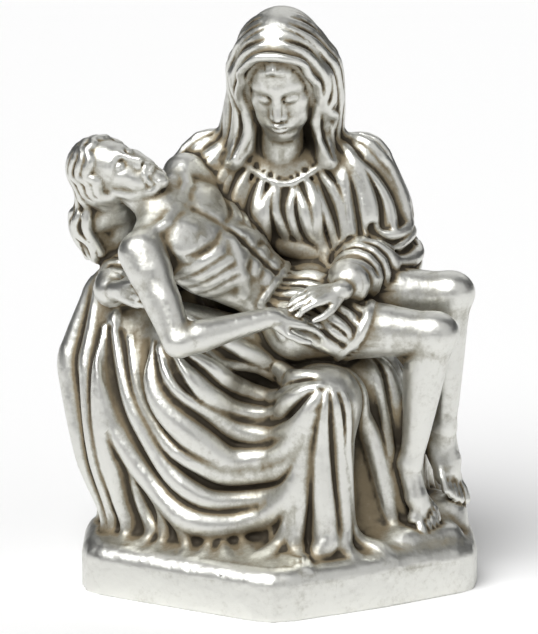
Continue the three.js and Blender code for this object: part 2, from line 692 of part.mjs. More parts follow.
// The lap, the seat and the cloak that hangs over them to the plinth, without the folds
function lap() {
  const form = new Form(WIDE);
  const level = frame([0, -1, 0], [0, 0, 1]);
  const tall = (x, y, z, rx, ry, rz) => new Egg([x, y, z], [ry, rx, rz], level);
  form.add(new Slab([0, 12, 28], [26, 50, 36], 16, level), 0);
  form.add(new Egg([0, -6, -6], [58, 78, 14], level), 8);
  form.add(strand([M_HIPS[0], M_KNEES[0]], [19, 14], WIDE), 12);
  form.add(strand([M_HIPS[1], M_KNEES[1]], [19, 13], WIDE), 12);
  form.add(strand([M_KNEES[0], M_ANKLES[0]], [13.5, 16], WIDE), 10);
  form.add(strand([M_KNEES[1], M_ANKLES[1]], [13, 16], WIDE), 10);
  form.add(tall(-10, -18, 26, 24, 24, 44), 14);
  form.add(
    strand([[-65, 0, 100], [-66.5, -2, 72], [-59, -6, 36], [-48, -8, 0]], [16, 21, 21, 19], WIDE), 14
  );
  form.add(tall(-48, -10, 50, 30, 24, 50), 14);
  form.add(
    strand(
      [[-13, 12, 164], [-23, 16, 142], [-30, 24, 108], [-38, 20, 54], [-42, 16, 0]],
      [8, 14, 19, 24, 24], WIDE
    ),
    14
  );
  form.add(
    strand(
      [[13, 12, 164], [23, 16, 142], [30, 24, 108], [34, 20, 54], [36, 16, 0]], [8, 14, 19, 24, 24],
      WIDE
    ),
    14
  );
  form.add(tall(0, 20, 64, 30, 22, 90), 14);
  form.add(strand([[34, -16, 66], [38, -16, 40], [38, -16, 0]], [13, 15, 18], WIDE), 14);
  form.add(strand([[-40, -28, 92], [-20, -24, 86], [4, -18, 78]], [11, 11, 9], WIDE), 10);
  return form;
}

// The veil's hood, without the folds
function hood() {
  const form = new Form(WIDE);
  const axes = frame(M_FACE, M_CROWN);
  const size = M_HEAD_SIZE;
  const at = (f, s, c) => place(M_HEAD, axes, [f * size, s * size, c * size]);
  form.add(new Egg(at(-0.15, 0, 0.11), [0.49 * size, 0.4 * size, 0.53 * size], axes), 0);
  for (const s of [-1, 1]) {
    form.add(strand([at(0, 0.33 * s, 0.05), at(0, 0.35 * s, -0.25), add(M_NECK, [14 * s, -5, 6]),
      add(M_NECK, [19 * s, -8, -6])], [5.5, 5.5, 5, 3.5], WIDE), 5);
    form.add(strand([at(-0.2, 0.33 * s, 0.05), at(-0.22, 0.34 * s, -0.25), add(M_NECK, [17 * s, 4, 6]),
      add(M_NECK, [25 * s, 5, -5])], [6, 6, 6, 4], WIDE), 5);
  }
  form.add(
    strand([at(-0.3, 0, -0.1), add(M_NECK, [0, 12, 2]), add(M_NECK, [0, 17, -18])], [15, 18, 19], WIDE),
    12
  );
  return form;
}

// The mantle with its folds: the hood, the cloak and the lap
function mantle() {
  const base = new Form(WIDE);
  base.add(lap(), 0);
  base.add(hood(), 10);
  const form = new Form();
  form.add(base, 0);
  const axes = frame(M_FACE, M_CROWN);
  const size = M_HEAD_SIZE;
  const at = (f, s, c) => place(M_HEAD, axes, [f * size, s * size, c * size]);
  // From the crown down the back to the plinth
  pleats(
    form, base,
    [
      [-18, 16, 212, 0.3], [-24, 24, 190, 2.4], [-28, 28, 164, 3.6], [-40, 36, 130, 4.6],
      [-50, 48, 84, 5.6], [-54, 44, 40, 6.4], [-58, 40, 0, 7]
    ],
    [
      [16, 16, 212, 0.3], [22, 24, 190, 2.4], [26, 28, 164, 3.6], [38, 36, 130, 4.6],
      [46, 48, 84, 5.6], [52, 44, 40, 6.4], [56, 40, 0, 7]
    ],
    8, 3.2, 1
  );
  // Down both sides
  pleats(form, base, [[52, 26, 110, 1], [58, 26, 70, 5.5], [60, 24, 35, 6], [60, 22, 0, 6.5]],
    [[48, -4, 94, 1], [58, -4, 64, 5], [60, -6, 30, 5.5], [60, -8, 0, 6]], 3, 3.4, 1);
  pleats(form, base, [[-50, 36, 118, 1], [-70, 32, 70, 5.5], [-70, 28, 35, 6.5], [-64, 24, 0, 7]],
    [[-86, 2, 110, 1], [-92, 2, 72, 5.5], [-82, 0, 34, 6], [-69, -2, 0, 6.5]], 4, 3.4, 1);
  // Long folds that fall from her right arm down the left side
  pleats(form, base, [[-84, -2, 112, 1.5], [-90, -6, 78, 5], [-80, -12, 40, 5.5], [-67, -14, 0, 6]],
    [[-72, -24, 106, 1.5], [-74, -26, 74, 5], [-68, -26, 36, 5], [-60, -24, 0, 5.5]], 3, 3, 1);
  // The hem of the gown at the lower left
  pleats(form, base, [[-66, -20, 36, 1.2], [-64, -24, 18, 2.8], [-62, -28, 6, 2.8], [-72, -36, 1, 1.4]],
    [[-10, -48, 18, 0.6], [-10, -54, 10, 1.2], [-8, -58, 5, 1.6], [-4, -70, 1, 0.8]], 8, 3, 1);
  // Below her left knee
  pleats(
    form, base,
    [[9, -58, 70, 2.4], [3, -60, 42, 4], [-2, -56, 14, 4.4], [-8, -60, 5, 4.4], [-12, -68, 2, 3]],
    [[22, -56, 70, 2.4], [27, -54, 44, 4.6], [30, -50, 16, 5], [35, -50, 5, 5], [40, -54, 1, 3.4]], 5,
    2, 1
  );
  // Behind the son's shins
  pleats(form, base, [[28, -36, 80, 2], [34, -36, 52, 4], [40, -34, 22, 4.4], [46, -36, 4, 4]],
    [[52, -8, 92, 2], [57, -8, 58, 4], [60, -10, 28, 4.4], [66, -14, 4, 4]], 5, 2, 0.6);
  // Folds across her right thigh, under the son's hip
  pleats(form, base, [[-40, -36, 97, 0.8], [-22, -42, 90, 3], [-4, -44, 82, 3.4], [12, -52, 82, 1.2]],
    [[-46, -42, 84, 0.8], [-30, -46, 70, 3.4], [-12, -44, 61, 3.8], [8, -54, 70, 1.4]], 4, 2, 0.3);
  // Great swags that sweep from her right thigh to her left knee
  pleats(
    form, base,
    [[-44, -42, 84, 2], [-30, -46, 68, 4], [-12, -42, 58, 4.6], [4, -50, 64, 3.8], [13, -58, 76, 1.6]],
    [[-76, -20, 92, 3], [-68, -30, 50, 6], [-38, -44, 14, 7], [-4, -58, 22, 5.4], [8, -60, 54, 2.4]],
    6, 2.6, 0.4
  );
  // The hood's sides, its opening and its edge
  for (const s of [-1, 1]) {
    const front = pinned(M_HEAD, axes, size, [[0.2, 0.1 * s, 0.6, 0.01], [0.16, 0.36 * s, 0.38, 0.045],
      [0.1, 0.4 * s, 0.02, 0.055]]);
    const rear = pinned(M_HEAD, axes, size, [[-0.2, 0.16 * s, 0.64, 0.01], [-0.26, 0.38 * s, 0.36, 0.05],
      [-0.3, 0.42 * s, 0, 0.06]]);
    front.push([...add(M_NECK, [14 * s, -11, 9]), 2.2], [...add(M_NECK, [20 * s, -12, -5]), 1.6]);
    rear.push([...add(M_NECK, [24 * s, 8, 9]), 2.6], [...add(M_NECK, [30 * s, 8, -3]), 2]);
    pleats(form, base, front, rear, 5, 1.4, 0.5);
  }
  form.cut(new Egg(at(0.4, 0, -0.03), [0.38 * size, 0.31 * size, 0.44 * size], axes), 2);
  form.cut(new Egg(at(0.22, 0, -0.6), [0.3 * size, 0.27 * size, 0.4 * size], axes), 2);
  const rim = pinned(
    M_HEAD, axes, size,
    [
      [0.06, -0.38, -0.5, 0.02], [0.11, -0.37, -0.25, 0.036], [0.19, -0.34, 0.08, 0.038],
      [0.25, -0.25, 0.34, 0.038], [0.28, 0, 0.46, 0.042], [0.25, 0.25, 0.34, 0.038],
      [0.19, 0.34, 0.08, 0.038], [0.11, 0.37, -0.25, 0.036], [0.06, 0.38, -0.5, 0.02]
    ]
  );
  const edge = [];
  const smooth = curve(rim, 48);
  for (let i = 0; i < smooth.length; i++) {
    const p = smooth[i];
    edge.push(
      [...add(p, [0.5 * Math.sin(1.1 * i), 0.4 * Math.cos(0.8 * i), 0.4 * Math.sin(0.7 * i)]), p[3]]
    );
  }
  form.add(strand(edge, null), 1.2);
  return form;
}

// The pleated cap that the mother wears under her veil
function cap(form) {
  const axes = frame(M_FACE, M_CROWN);
  const edge = [];
  for (let i = 0; i < 29; i++) {
    const t = (i - 14) / 14;
    const fold = 0.011 * Math.cos(2.2 * i);
    const low = [0.29 - 0.25 * t * t + fold, 0.285 * t, 0.285 - 0.28 * t * t + fold, 0.02];
    const high = [0.21 - 0.19 * t * t, 0.31 * t, 0.425 - 0.28 * t * t, 0.024];
    edge.push(low);
    if (i % 2 === 0) {
      form.add(strand(pinned(M_HEAD, axes, M_HEAD_SIZE, [low, high]), null), 0.8);
    }
  }
  form.add(strand(pinned(M_HEAD, axes, M_HEAD_SIZE, edge), null), 0.8);
}

function mother() {
  const form = new Form();
  form.add(mantle(), 0);
  form.add(dress(), 2.5);
  const skin = new Form();
  skin.add(head(M_HEAD, M_FACE, M_CROWN, M_HEAD_SIZE), 0);
  skin.add(new Bone(add(M_HEAD, [0, 3, -6]), add(M_NECK, [0, 0, -4]), 8.2, 9.5), 4);
  cap(skin);
  form.add(skin, 0.8);
  form.add(new Bone(M_WRISTS[0], add(M_WRISTS[0], [4, -8, 1]), 5, 4), 1);
  form.add(
    hand(add(M_WRISTS[0], [4, -8, 1]), [0.55, -0.8, 0.1], [0.8, 0.6, -0.1], 1, 30, [30, 32, 32, 30], 20),
    0.8
  );
  form.add(new Bone(mix(M_ELBOWS[1], M_WRISTS[1], 0.7), M_WRISTS[1], 5, 4), 1);
  form.add(hand(M_WRISTS[1], [-0.85, -0.35, -0.1], [-0.1, 0.5, -0.85], 1, 27, [22, 20, 20, 22], 10), 1);
  // The toes of her left foot, under the hem
  form.add(foot([3, -44, 10], [0.02, -1, -0.1], [0, -0.1, -1], -1, 34, 1), 0.6);
  return form;
}

// The son's hair and beard
function sonHair(form) {
  const axes = frame(S_FACE, S_CROWN);
  const size = S_HEAD_SIZE;
  const at = (f, s, c) => place(S_HEAD, axes, [f * size, s * size, c * size]);
  const skull = new Form(WIDE);
  skull.add(new Egg(at(-0.08, 0, 0.12), [0.4 * size, 0.325 * size, 0.4 * size], axes), 0);
  form.add(new Egg(at(-0.14, 0, 0.15), [0.37 * size, 0.335 * size, 0.39 * size], axes), 1.5);
  for (const s of [-1, 1]) {
    locks(
      form, skull,
      pinned(
        S_HEAD, axes, size,
        [
          [0.25, 0.03 * s, 0.4, 0.05], [0.14, 0.26 * s, 0.3, 0.055], [-0.02, 0.34 * s, 0.08, 0.06],
          [-0.14, 0.33 * s, -0.25, 0.06]
        ]
      ),
      pinned(
        S_HEAD, axes, size,
        [
          [-0.1, 0.04 * s, 0.6, 0.05], [-0.35, 0.22 * s, 0.4, 0.06], [-0.45, 0.2 * s, 0.05, 0.07],
          [-0.4, 0.18 * s, -0.3, 0.07]
        ]
      ),
      5, 3, 1
    );
    form.add(
      strandIn(
        S_HEAD, axes, size,
        [[0.0, 0.27 * s, -0.1], [0.06, 0.235 * s, -0.28], [0.18, 0.14 * s, -0.44], [0.27, 0, -0.5]],
        [0.045, 0.055, 0.06, 0.06]
      ),
      1.2
    );
    form.add(
      strandIn(
        S_HEAD, axes, size,
        [
          [0.37, 0.012 * s, -0.238], [0.348, 0.07 * s, -0.262], [0.3, 0.12 * s, -0.34],
          [0.26, 0.12 * s, -0.4]
        ],
        [0.02, 0.022, 0.022, 0.02]
      ),
      0.6
    );
    form.add(
      strandIn(
        S_HEAD, axes, size, [[0.27, 0.04 * s, -0.4], [0.285, 0.045 * s, -0.47], [0.255, 0.03 * s, -0.53]],
        [0.055, 0.05, 0.035]
      ),
      0.6
    );
  }
  // Locks that hang behind his shoulder
  const behind = new Form(WIDE);
  behind.add(
    strand(
      [at(-0.32, 0, 0.05), at(-0.5, 0, -0.15), [-78, -8, 134], [-74, -4, 122]], [11, 9, 8, 7], WIDE
    ),
    0
  );
  behind.add(strand([at(-0.4, 0, -0.1), [-66, -6, 137], [-69, -4, 124]], [9, 8, 7], WIDE), 3);
  form.add(behind, 3);
  locks(
    form, behind,
    [[-90, -26, 156, 1.6], [-86, -22, 146, 2.2], [-80, -18, 134, 2.2], [-74, -14, 120, 1.6]],
    [[-88, 6, 156, 1.6], [-90, 4, 144, 2.2], [-86, 4, 132, 2.2], [-80, 6, 120, 1.6]], 5, 3, 1
  );
}

// The cloth round the son's hips
function loincloth(form) {
  const cloth = new Form(WIDE);
  const axes = frame([0, -0.35, 1], [0.94, -0.2, -0.02]);
  cloth.add(new Egg(add(S_PELVIS, [4, 0, 0]), [16.5, 20.5, 19], axes), 0);
  const bare = new Form(WIDE);
  bare.add(trunk(S_PELVIS, S_NECK, S_CHEST_FACES), 0);
  for (let i = 0; i < 2; i++) {
    cloth.add(strand([S_HIPS[i], mix(S_HIPS[i], S_KNEES[i], 0.24)], [15.6, 14.8], WIDE), 6);
    bare.add(strand([S_HIPS[i], mix(S_HIPS[i], S_KNEES[i], 0.6)], [14, 11.6], WIDE), 4);
  }
  const base = new Form(WIDE);
  base.add(bare, 0);
  base.add(cloth, 1);
  form.add(cloth, 1);
  pleats(form, base, [[-8, -38, 102, 0.4], [4, -44, 94, 1.8], [14, -46, 86, 2], [24, -44, 76, 0.8]],
    [[-3, -20, 112, 0.4], [10, -20, 114, 1.8], [22, -26, 108, 2], [34, -30, 102, 0.8]], 9, 1.4, 0.4);
  // Its rolled edges at the waist and on the thigh
  const waist = curve([[-4, -43, 90, 0.9, 0], [-9, -38, 101, 1.3, 0], [-7, -28, 109, 1.3, 0],
    [-1, -14, 115, 1.1, 0]], 18);
  const thigh = curve([[20, -42, 75, 1, 0], [25, -45, 84, 1.6, 0], [32, -40, 97, 1.8, 0],
    [35, -27, 105, 1.4, 0]], 18);
  for (const line of settle(base, [waist, thigh])) {
    form.add(strand(line, null), 1.6);
  }
}

function son() {
  const form = new Form();
  const axes = frame(S_CHEST_FACES, sub(S_NECK, S_PELVIS));
  const near = place(S_NECK, axes, [-1, -25, -3]);
  const far = place(S_NECK, axes, [-1, 25, -3]);
  form.add(trunk(S_PELVIS, S_NECK, S_CHEST_FACES), 0);
  for (let i = 0; i < 2; i++) {
    form.add(leg(S_HIPS[i], S_KNEES[i], S_ANKLES[i], [0.1, -0.3, 0.9]), 4);
  }
  loincloth(form);
  form.add(new Bone(S_NECK, S_HEAD, 8.3, 7.6), 4);
  form.add(head(S_HEAD, S_FACE, S_CROWN, S_HEAD_SIZE), 2);
  sonHair(form);
  form.add(arm(near, S_ELBOW_NEAR, S_WRIST_NEAR, [0.4, -0.6, 0.5]), 2.5);
  form.add(arm(far, S_ELBOW_FAR, S_WRIST_FAR, [0.4, -0.6, 0.5]), 2.5);
  form.add(hand(S_WRIST_NEAR, [0.9, 0.2, -0.1], [-0.1, 0.5, -0.8], -1, 27, [18, 18, 20, 22], 8), 1.2);
  form.add(foot(S_ANKLES[0], [0.42, -0.38, -0.82], [-0.35, 0.72, -0.6], 1, 42, 1), 2.4);
  form.add(foot(S_ANKLES[1], [0.42, -0.3, -0.86], [-0.6, 0.4, -0.65], -1, 42, 0), 2.4);
  return form;
}

// The rock that the folds and the son's feet rest on
function rock() {
  const form = new Form();
  const level = frame([0, -1, 0], [0, 0, 1]);
  form.add(new Egg([0, -6, -6], [58, 78, 14], level), 0);
  form.add(new Slab([52, -26, 0], [17, 18, 9], 8, frame([0.5, -0.8, 0.1], [0.1, -0.15, 1])), 5);
  form.add(new Slab([61, -8, 3], [17, 13, 11], 9, frame([0.3, -0.9, -0.1], [-0.15, 0.1, 1])), 4);
  form.add(new Slab([40, -38, -1], [10, 14, 6], 5, frame([0.7, -0.7, 0], [-0.1, -0.2, 1])), 4);
  form.add(new Slab([-56, -4, -1], [18, 14, 6], 5.5, frame([-0.5, -0.8, 0], [-0.1, 0.1, 1])), 5);
  return form;
}

function build() {
  const form = new Form();
  form.add(rock(), 0);
  form.add(mother(), 2);
  form.add(son(), 0.6);
  return form;
}

// The closed surface where the form's distance is 0, found in the six tetrahedra of each cell of a grid
function polygonise(form, cell) {
  const low = form.low.map((v) => v - 2 * cell);
  const count = form.high.map((v, i) => Math.ceil((v - low[i]) / cell) + 3);
  const stride = [1, count[0], count[0] * count[1]];
  const values = new Float32Array(count[0] * count[1] * count[2]);
  const corner = (i, j, k) => [low[0] + i * cell, low[1] + j * cell, low[2] + k * cell];
  for (let k = 0; k < count[2]; k++) {
    for (let j = 0; j < count[1]; j++) {
      for (let i = 0; i < count[0]; i++) {
        values[i + j * stride[1] + k * stride[2]] = form.distance(corner(i, j, k));
      }
    }
  }
  const steps = [[0, 1, 2], [1, 2, 0], [2, 0, 1], [0, 2, 1], [2, 1, 0], [1, 0, 2]];
  const evenFirst = [[0, 1, 2, 3], [1, 0, 3, 2], [2, 3, 0, 1], [3, 2, 1, 0]];
  const evenPairs = [[0, 1, 2, 3], [0, 2, 3, 1], [0, 3, 1, 2], [1, 2, 0, 3], [1, 3, 2, 0], [2, 3, 0, 1]];
  const positions = [];
  const triangles = [];
  const known = new Map();
  const where = (n) => corner(
    n % count[0], Math.floor(n / stride[1]) % count[1], Math.floor(n / stride[2]));

  function crossing(a, b) {
    const [m, n] = a < b ? [a, b] : [b, a];
    const key = m * values.length + n;
    if (!known.has(key)) {
      const t = clamp(values[m] / (values[m] - values[n]), 0.08, 0.92);
      known.set(key, positions.length);
      positions.push(mix(where(m), where(n), t));
    }
    return known.get(key);
  }

  function tetrahedron(corners, flipped) {
    const inside = corners.map((n) => values[n] < 0);
    const total = inside.filter(Boolean).length;
    if (total === 0 || total === 4) return;
    const put = (a, b, c) => triangles.push(flipped ? [a, c, b] : [a, b, c]);
    if (total === 2) {
      const order = evenPairs.find(([a, b]) => inside[a] && inside[b]);
      const [i, j, k, l] = order.map((n) => corners[n]);
      const ring = [crossing(i, k), crossing(i, l), crossing(j, l), crossing(j, k)];
      put(ring[0], ring[1], ring[2]);
      put(ring[0], ring[2], ring[3]);
      return;
    }
    const order = evenFirst.find(([a]) => inside[a] === (total === 1));
    const [i, j, k, l] = order.map((n) => corners[n]);
    const ring = [crossing(i, j), crossing(i, k), crossing(i, l)];
    if (total === 1) put(ring[0], ring[1], ring[2]);
    else put(ring[0], ring[2], ring[1]);
  }

  for (let k = 0; k + 1 < count[2]; k++) {
    for (let j = 0; j + 1 < count[1]; j++) {
      for (let i = 0; i + 1 < count[0]; i++) {
        const first = i + j * stride[1] + k * stride[2];
        const last = first + stride[0] + stride[1] + stride[2];
        if (Math.abs(values[first]) > 3 * cell && Math.abs(values[last]) > 3 * cell) continue;
        steps.forEach((step, n) => {
          const second = first + stride[step[0]];
          const third = second + stride[step[1]];
          tetrahedron([first, second, third, last], n > 2);
        });
      }
    }
  }
  return { positions, triangles };
}

// Keeps the largest connected piece of a surface
function largestPiece({ positions, triangles }) {
  const parent = positions.map((_, i) => i);
  const root = (i) => {
    while (parent[i] !== i) i = parent[i] = parent[parent[i]];
    return i;
  };
  for (const [a, b, c] of triangles) {
    parent[root(a)] = root(b);
    parent[root(b)] = root(c);
  }
  const sizes = new Map();
  for (const [a] of triangles) sizes.set(root(a), (sizes.get(root(a)) || 0) + 1);
  const best = [...sizes].reduce((x, y) => (y[1] > x[1] ? y : x))[0];
  return { positions, triangles: triangles.filter(([a]) => root(a) === best) };
}

// A binary heap of [cost, ...] rows, cheapest first
class Queue {
  constructor() {
    this.rows = [];
  }

  push(row) {
    const rows = this.rows;
    let i = rows.push(row) - 1;
    while (i > 0) {
      const up = (i - 1) >> 1;
      if (rows[up][0] <= rows[i][0]) break;
      [rows[up], rows[i]] = [rows[i], rows[up]];
      i = up;
    }
  }

  pop() {
    const rows = this.rows;
    const top = rows[0];
    const tail = rows.pop();
    if (rows.length) {
      rows[0] = tail;
      let i = 0;
      for (;;) {
        let least = i;
        for (const child of [2 * i + 1, 2 * i + 2]) {
          if (child < rows.length && rows[child][0] < rows[least][0]) least = child;
        }
        if (least === i) break;
        [rows[least], rows[i]] = [rows[i], rows[least]];
        i = least;
      }
    }
    return top;
  }
}

// Collapses the edges that matter least until only target triangles are left
function simplify({ positions, triangles }, target) {
  const points = positions.map((p) => p.slice());
  const faces = triangles.map((t) => t.slice());
  const around = points.map(() => new Set());
  const quadrics = points.map(() => new Float64Array(10));
  const version = new Int32Array(points.length);
  const queue = new Queue();

  faces.forEach((face, f) => {
    const [a, b, c] = face.map((v) => points[v]);
    const area = cross(sub(b, a), sub(c, a));
    const size = length(area) || 1e-12;
    const n = mul(area, 1 / size);
    const plane = [...n, -dot(n, a)];
    for (const v of face) {
      around[v].add(f);
      let q = 0;
      for (let i = 0; i < 4; i++) {
        for (let j = i; j < 4; j++) quadrics[v][q++] += plane[i] * plane[j] * size;
      }
    }
  });

  const error = (q, [x, y, z]) => q[0] * x * x + 2 * q[1] * x * y + 2 * q[2] * x * z + 2 * q[3] * x
    + q[4] * y * y + 2 * q[5] * y * z + 2 * q[6] * y + q[7] * z * z + 2 * q[8] * z + q[9];

  function bestPoint(q, a, b) {
    const rows = [[q[0], q[1], q[2]], [q[1], q[4], q[5]], [q[2], q[5], q[7]]];
    const det = dot(rows[0], cross(rows[1], rows[2]));
    const scale = (q[0] + q[4] + q[7]) / 3;
    const middle = mix(a, b, 0.5);
    if (Math.abs(det) > 1e-3 * scale ** 3) {
      const right = [-q[3], -q[6], -q[8]];
      const first = mul(cross(rows[1], rows[2]), right[0]);
      const second = mul(cross(rows[2], rows[0]), right[1]);
      const third = mul(cross(rows[0], rows[1]), right[2]);
      const solved = mul(add(add(first, second), third), 1 / det);
      if (length(sub(solved, middle)) < length(sub(a, b))) return solved;
    }
    return [a, b, middle].reduce((x, y) => (error(q, y) < error(q, x) ? y : x));
  }

  function offer(u, v) {
    const q = quadrics[u].map((value, i) => value + quadrics[v][i]);
    const spot = bestPoint(q, points[u], points[v]);
    const cost = Math.max(error(q, spot), 0) + 1e-7 * length(sub(points[u], points[v]));
    queue.push([cost, u, v, version[u], version[v], spot]);
  }

  const neighbours = (v) => new Set([...around[v]].flatMap((f) => faces[f]).filter((w) => w !== v));

  function turnsOver(v, other, spot) {
    for (const f of around[v]) {
      if (faces[f].includes(other)) continue;
      const old = faces[f].map((w) => points[w]);
      const now = faces[f].map((w) => (w === v ? spot : points[w]));
      const before = cross(sub(old[1], old[0]), sub(old[2], old[0]));
      const after = cross(sub(now[1], now[0]), sub(now[2], now[0]));
      if (length(after) < 1e-4 || dot(before, after) < 0.3 * length(before) * length(after)) return true;
    }
    return false;
  }

  points.forEach((_, v) => {
    for (const w of neighbours(v)) if (v < w) offer(v, w);
  });
  let left = faces.length;
  while (left > target && queue.rows.length) {
    const [, u, v, atU, atV, spot] = queue.pop();
    if (version[u] !== atU || version[v] !== atV) continue;
    const nextToU = neighbours(u);
    const shared = [...neighbours(v)].filter((w) => nextToU.has(w));
    if (shared.length !== 2 || turnsOver(u, v, spot) || turnsOver(v, u, spot)) continue;
    points[u] = spot;
    quadrics[v].forEach((value, i) => { quadrics[u][i] += value; });
    version[u]++;
    version[v] = -1;
    for (const f of around[v]) {
      if (faces[f].includes(u)) {
        for (const w of faces[f]) if (w !== v) around[w].delete(f);
        faces[f] = null;
        left--;
      } else {
        faces[f] = faces[f].map((w) => (w === v ? u : w));
        around[u].add(f);
      }
    }
    around[v].clear();
    for (const w of neighbours(u)) {
      offer(u, w);
    }
  }
  return { positions: points, triangles: faces.filter(Boolean) };
}

const wasm = await Module();
wasm.setup();

function asGeometry({ positions, triangles }, scale, lift) {
  const geometry = new THREE.BufferGeometry();
  const flat = positions.flatMap(
    ([x, y, z]) => [x * scale * BREADTH + FIGURE_SHIFT, y * scale, z * scale + lift]);
  geometry.setAttribute('position', new THREE.Float32BufferAttribute(flat, 3));
  geometry.setIndex(triangles.flat());
  return geometry;
}

function asSolid(geometry) {
  const bare = geometry.clone();
  bare.deleteAttribute('normal');
  bare.deleteAttribute('uv');
  const merged = mergeVertices(bare, 1e-5);
  return new wasm.Manifold(new wasm.Mesh({
    numProp: 3,
    vertProperties: new Float32Array(merged.attributes.position.array),
    triVerts: new Uint32Array(merged.index.array),
  }));
}

function asMeshGeometry(solid) {
  const mesh = solid.getMesh();
  const geometry = new THREE.BufferGeometry();
  geometry.setAttribute('position', new THREE.BufferAttribute(mesh.vertProperties, 3));
  geometry.setIndex(new THREE.BufferAttribute(mesh.triVerts, 1));
  geometry.computeVertexNormals();
  return geometry;
}

// The plinth's outline: a rounded prow in front, its corners cut soft
function plinthOutline() {
  const half = PLINTH_WIDTH / 2 - PLINTH_ROUND;
  const front = PLINTH_FRONT - PLINTH_ROUND;
  const back = PLINTH_BACK - PLINTH_ROUND;
  const right = [
    [0.5 * half, -0.52 * front - 0.5 * PLINTH_CORNER],
    [half, -PLINTH_CORNER],
    [half, 0.2 * back],
    [0.86 * half, 0.85 * back],
    [0.62 * half, back],
  ];
  const left = right.map(([x, y]) => [-x, y]).reverse();
  const corners = [[PLINTH_POINT, -front], ...right, ...left];
  const outline = [];
  for (let i = 0; i < corners.length; i++) {
    const here = corners[i];
    const before = corners[(i + corners.length - 1) % corners.length];
    const after = corners[(i + 1) % corners.length];
    const near = (other) => {
      const share = PLINTH_ROUND / Math.hypot(other[0] - here[0], other[1] - here[1]);
      return [here[0] + (other[0] - here[0]) * share, here[1] + (other[1] - here[1]) * share];
    };
    const [a, b] = [near(before), near(after)];
    outline.push(a, [(a[0] + 2 * here[0] + b[0]) / 4, (a[1] + 2 * here[1] + b[1]) / 4], b);
  }
  return outline;
}

// The plinth with a round upper edge. It goes on below its underside, where it is cut off flat
function plinth() {
  const outline = new THREE.Shape(plinthOutline().map(([x, y]) => new THREE.Vector2(x, y)));
  const geometry = new THREE.ExtrudeGeometry(outline, {
    depth: PLINTH_HEIGHT,
    bevelEnabled: true,
    bevelThickness: PLINTH_ROUND,
    bevelSize: PLINTH_ROUND,
    bevelSegments: 4,
  });
  geometry.translate(0, 0, -PLINTH_ROUND);
  return geometry;
}

// A block that fills all below a height
function below(height) {
  const reach = 3 * TOTAL_HEIGHT;
  const block = new THREE.BoxGeometry(reach, reach, reach);
  block.translate(0, 0, height - reach / 2);
  return asSolid(block);
}

const carved = simplify(largestPiece(polygonise(build(), CELL)), TRIANGLES);
const carvedTop = Math.max(...carved.positions.map(([, , z]) => z));
const scale = (TOTAL_HEIGHT - PLINTH_HEIGHT) / carvedTop;
const figures = asSolid(asGeometry(carved, scale, PLINTH_HEIGHT));
const base = asSolid(plinth()).subtract(below(0));
const statue = base.add(figures.subtract(below(PLINTH_HEIGHT - FIGURE_SINK)));

const silver = new THREE.MeshStandardMaterial({ color: 0xb9b6ad, metalness: 0.9, roughness: 0.35 });
const pieta = new THREE.Group();
const group = new THREE.Mesh(asMeshGeometry(statue), silver);
group.name = 'pieta_statue';
pieta.add(group);

export default pieta;
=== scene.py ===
"""Dresses the pieta statue: the finely carved casting, its silver finish, the floor, the light and
the camera. The sculpt is made of the same forms as the part's source, in the same carved units."""
import math

import bpy
import numpy as np
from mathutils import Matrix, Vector


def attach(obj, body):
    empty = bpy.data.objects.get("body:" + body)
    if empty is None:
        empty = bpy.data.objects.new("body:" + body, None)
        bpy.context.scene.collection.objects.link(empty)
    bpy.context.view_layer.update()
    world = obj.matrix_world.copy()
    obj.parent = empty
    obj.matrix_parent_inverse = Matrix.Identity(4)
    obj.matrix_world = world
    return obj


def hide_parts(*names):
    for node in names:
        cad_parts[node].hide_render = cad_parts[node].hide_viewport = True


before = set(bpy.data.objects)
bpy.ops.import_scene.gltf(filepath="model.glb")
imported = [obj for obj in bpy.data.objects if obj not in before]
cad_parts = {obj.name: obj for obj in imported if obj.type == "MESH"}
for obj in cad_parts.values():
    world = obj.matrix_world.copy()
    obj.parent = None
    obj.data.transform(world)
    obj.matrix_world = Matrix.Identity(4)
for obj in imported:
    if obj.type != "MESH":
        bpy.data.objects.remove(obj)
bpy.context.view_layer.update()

# The casting's sizes in mm, and how much wider than carved its figures are, as in the part's source
TOTAL_HEIGHT = 254
PLINTH_HEIGHT = 22
PLINTH_WIDTH = 174
PLINTH_FRONT = 82
PLINTH_BACK = 50
PLINTH_CORNER = 32
PLINTH_ROUND = 7
PLINTH_POINT = -4
# The plinth's top rises this much over this far from its edges
PLINTH_DOME = 2.5
PLINTH_SLOPE = 20
FIGURE_SINK = 3
FIGURE_SHIFT = 2
BREADTH = 1.05

# The mesh, in carved units
CELL = 0.85
PLINTH_SEAM = 3
HOLLOW_REACHES = (1, 3, 8)
FREE_TRIANGLES = 128000

# How far round its shapes a form's field is filled in, for a form that lines settle on and for any
# other one, and the field's value beyond that
WIDE = 50.0
BAND = 2.5
FAR = 60.0
# How a point is brought to a surface: the rounds, and the share of the way that each one goes
SETTLE_ROUNDS = 7
SETTLE_SHARE = 0.9


def add(a, b):
    return [a[0] + b[0], a[1] + b[1], a[2] + b[2]]


def sub(a, b):
    return [a[0] - b[0], a[1] - b[1], a[2] - b[2]]


def mul(a, s):
    return [a[0] * s, a[1] * s, a[2] * s]


def dot(a, b):
    return a[0] * b[0] + a[1] * b[1] + a[2] * b[2]


def cross(a, b):
    return [a[1] * b[2] - a[2] * b[1], a[2] * b[0] - a[0] * b[2], a[0] * b[1] - a[1] * b[0]]


def length(a):
    return math.sqrt(dot(a, a))


def unit(a):
    return mul(a, 1 / length(a))


def mix(a, b, t):
    return [p + (q - p) * t for p, q in zip(a, b)]


def frame(across, along):
    """Three unit axes: across made square to along, the third, and along."""
    w = unit(along)
    u = unit(sub(across, mul(w, dot(across, w))))
    return [u, cross(w, u), w]


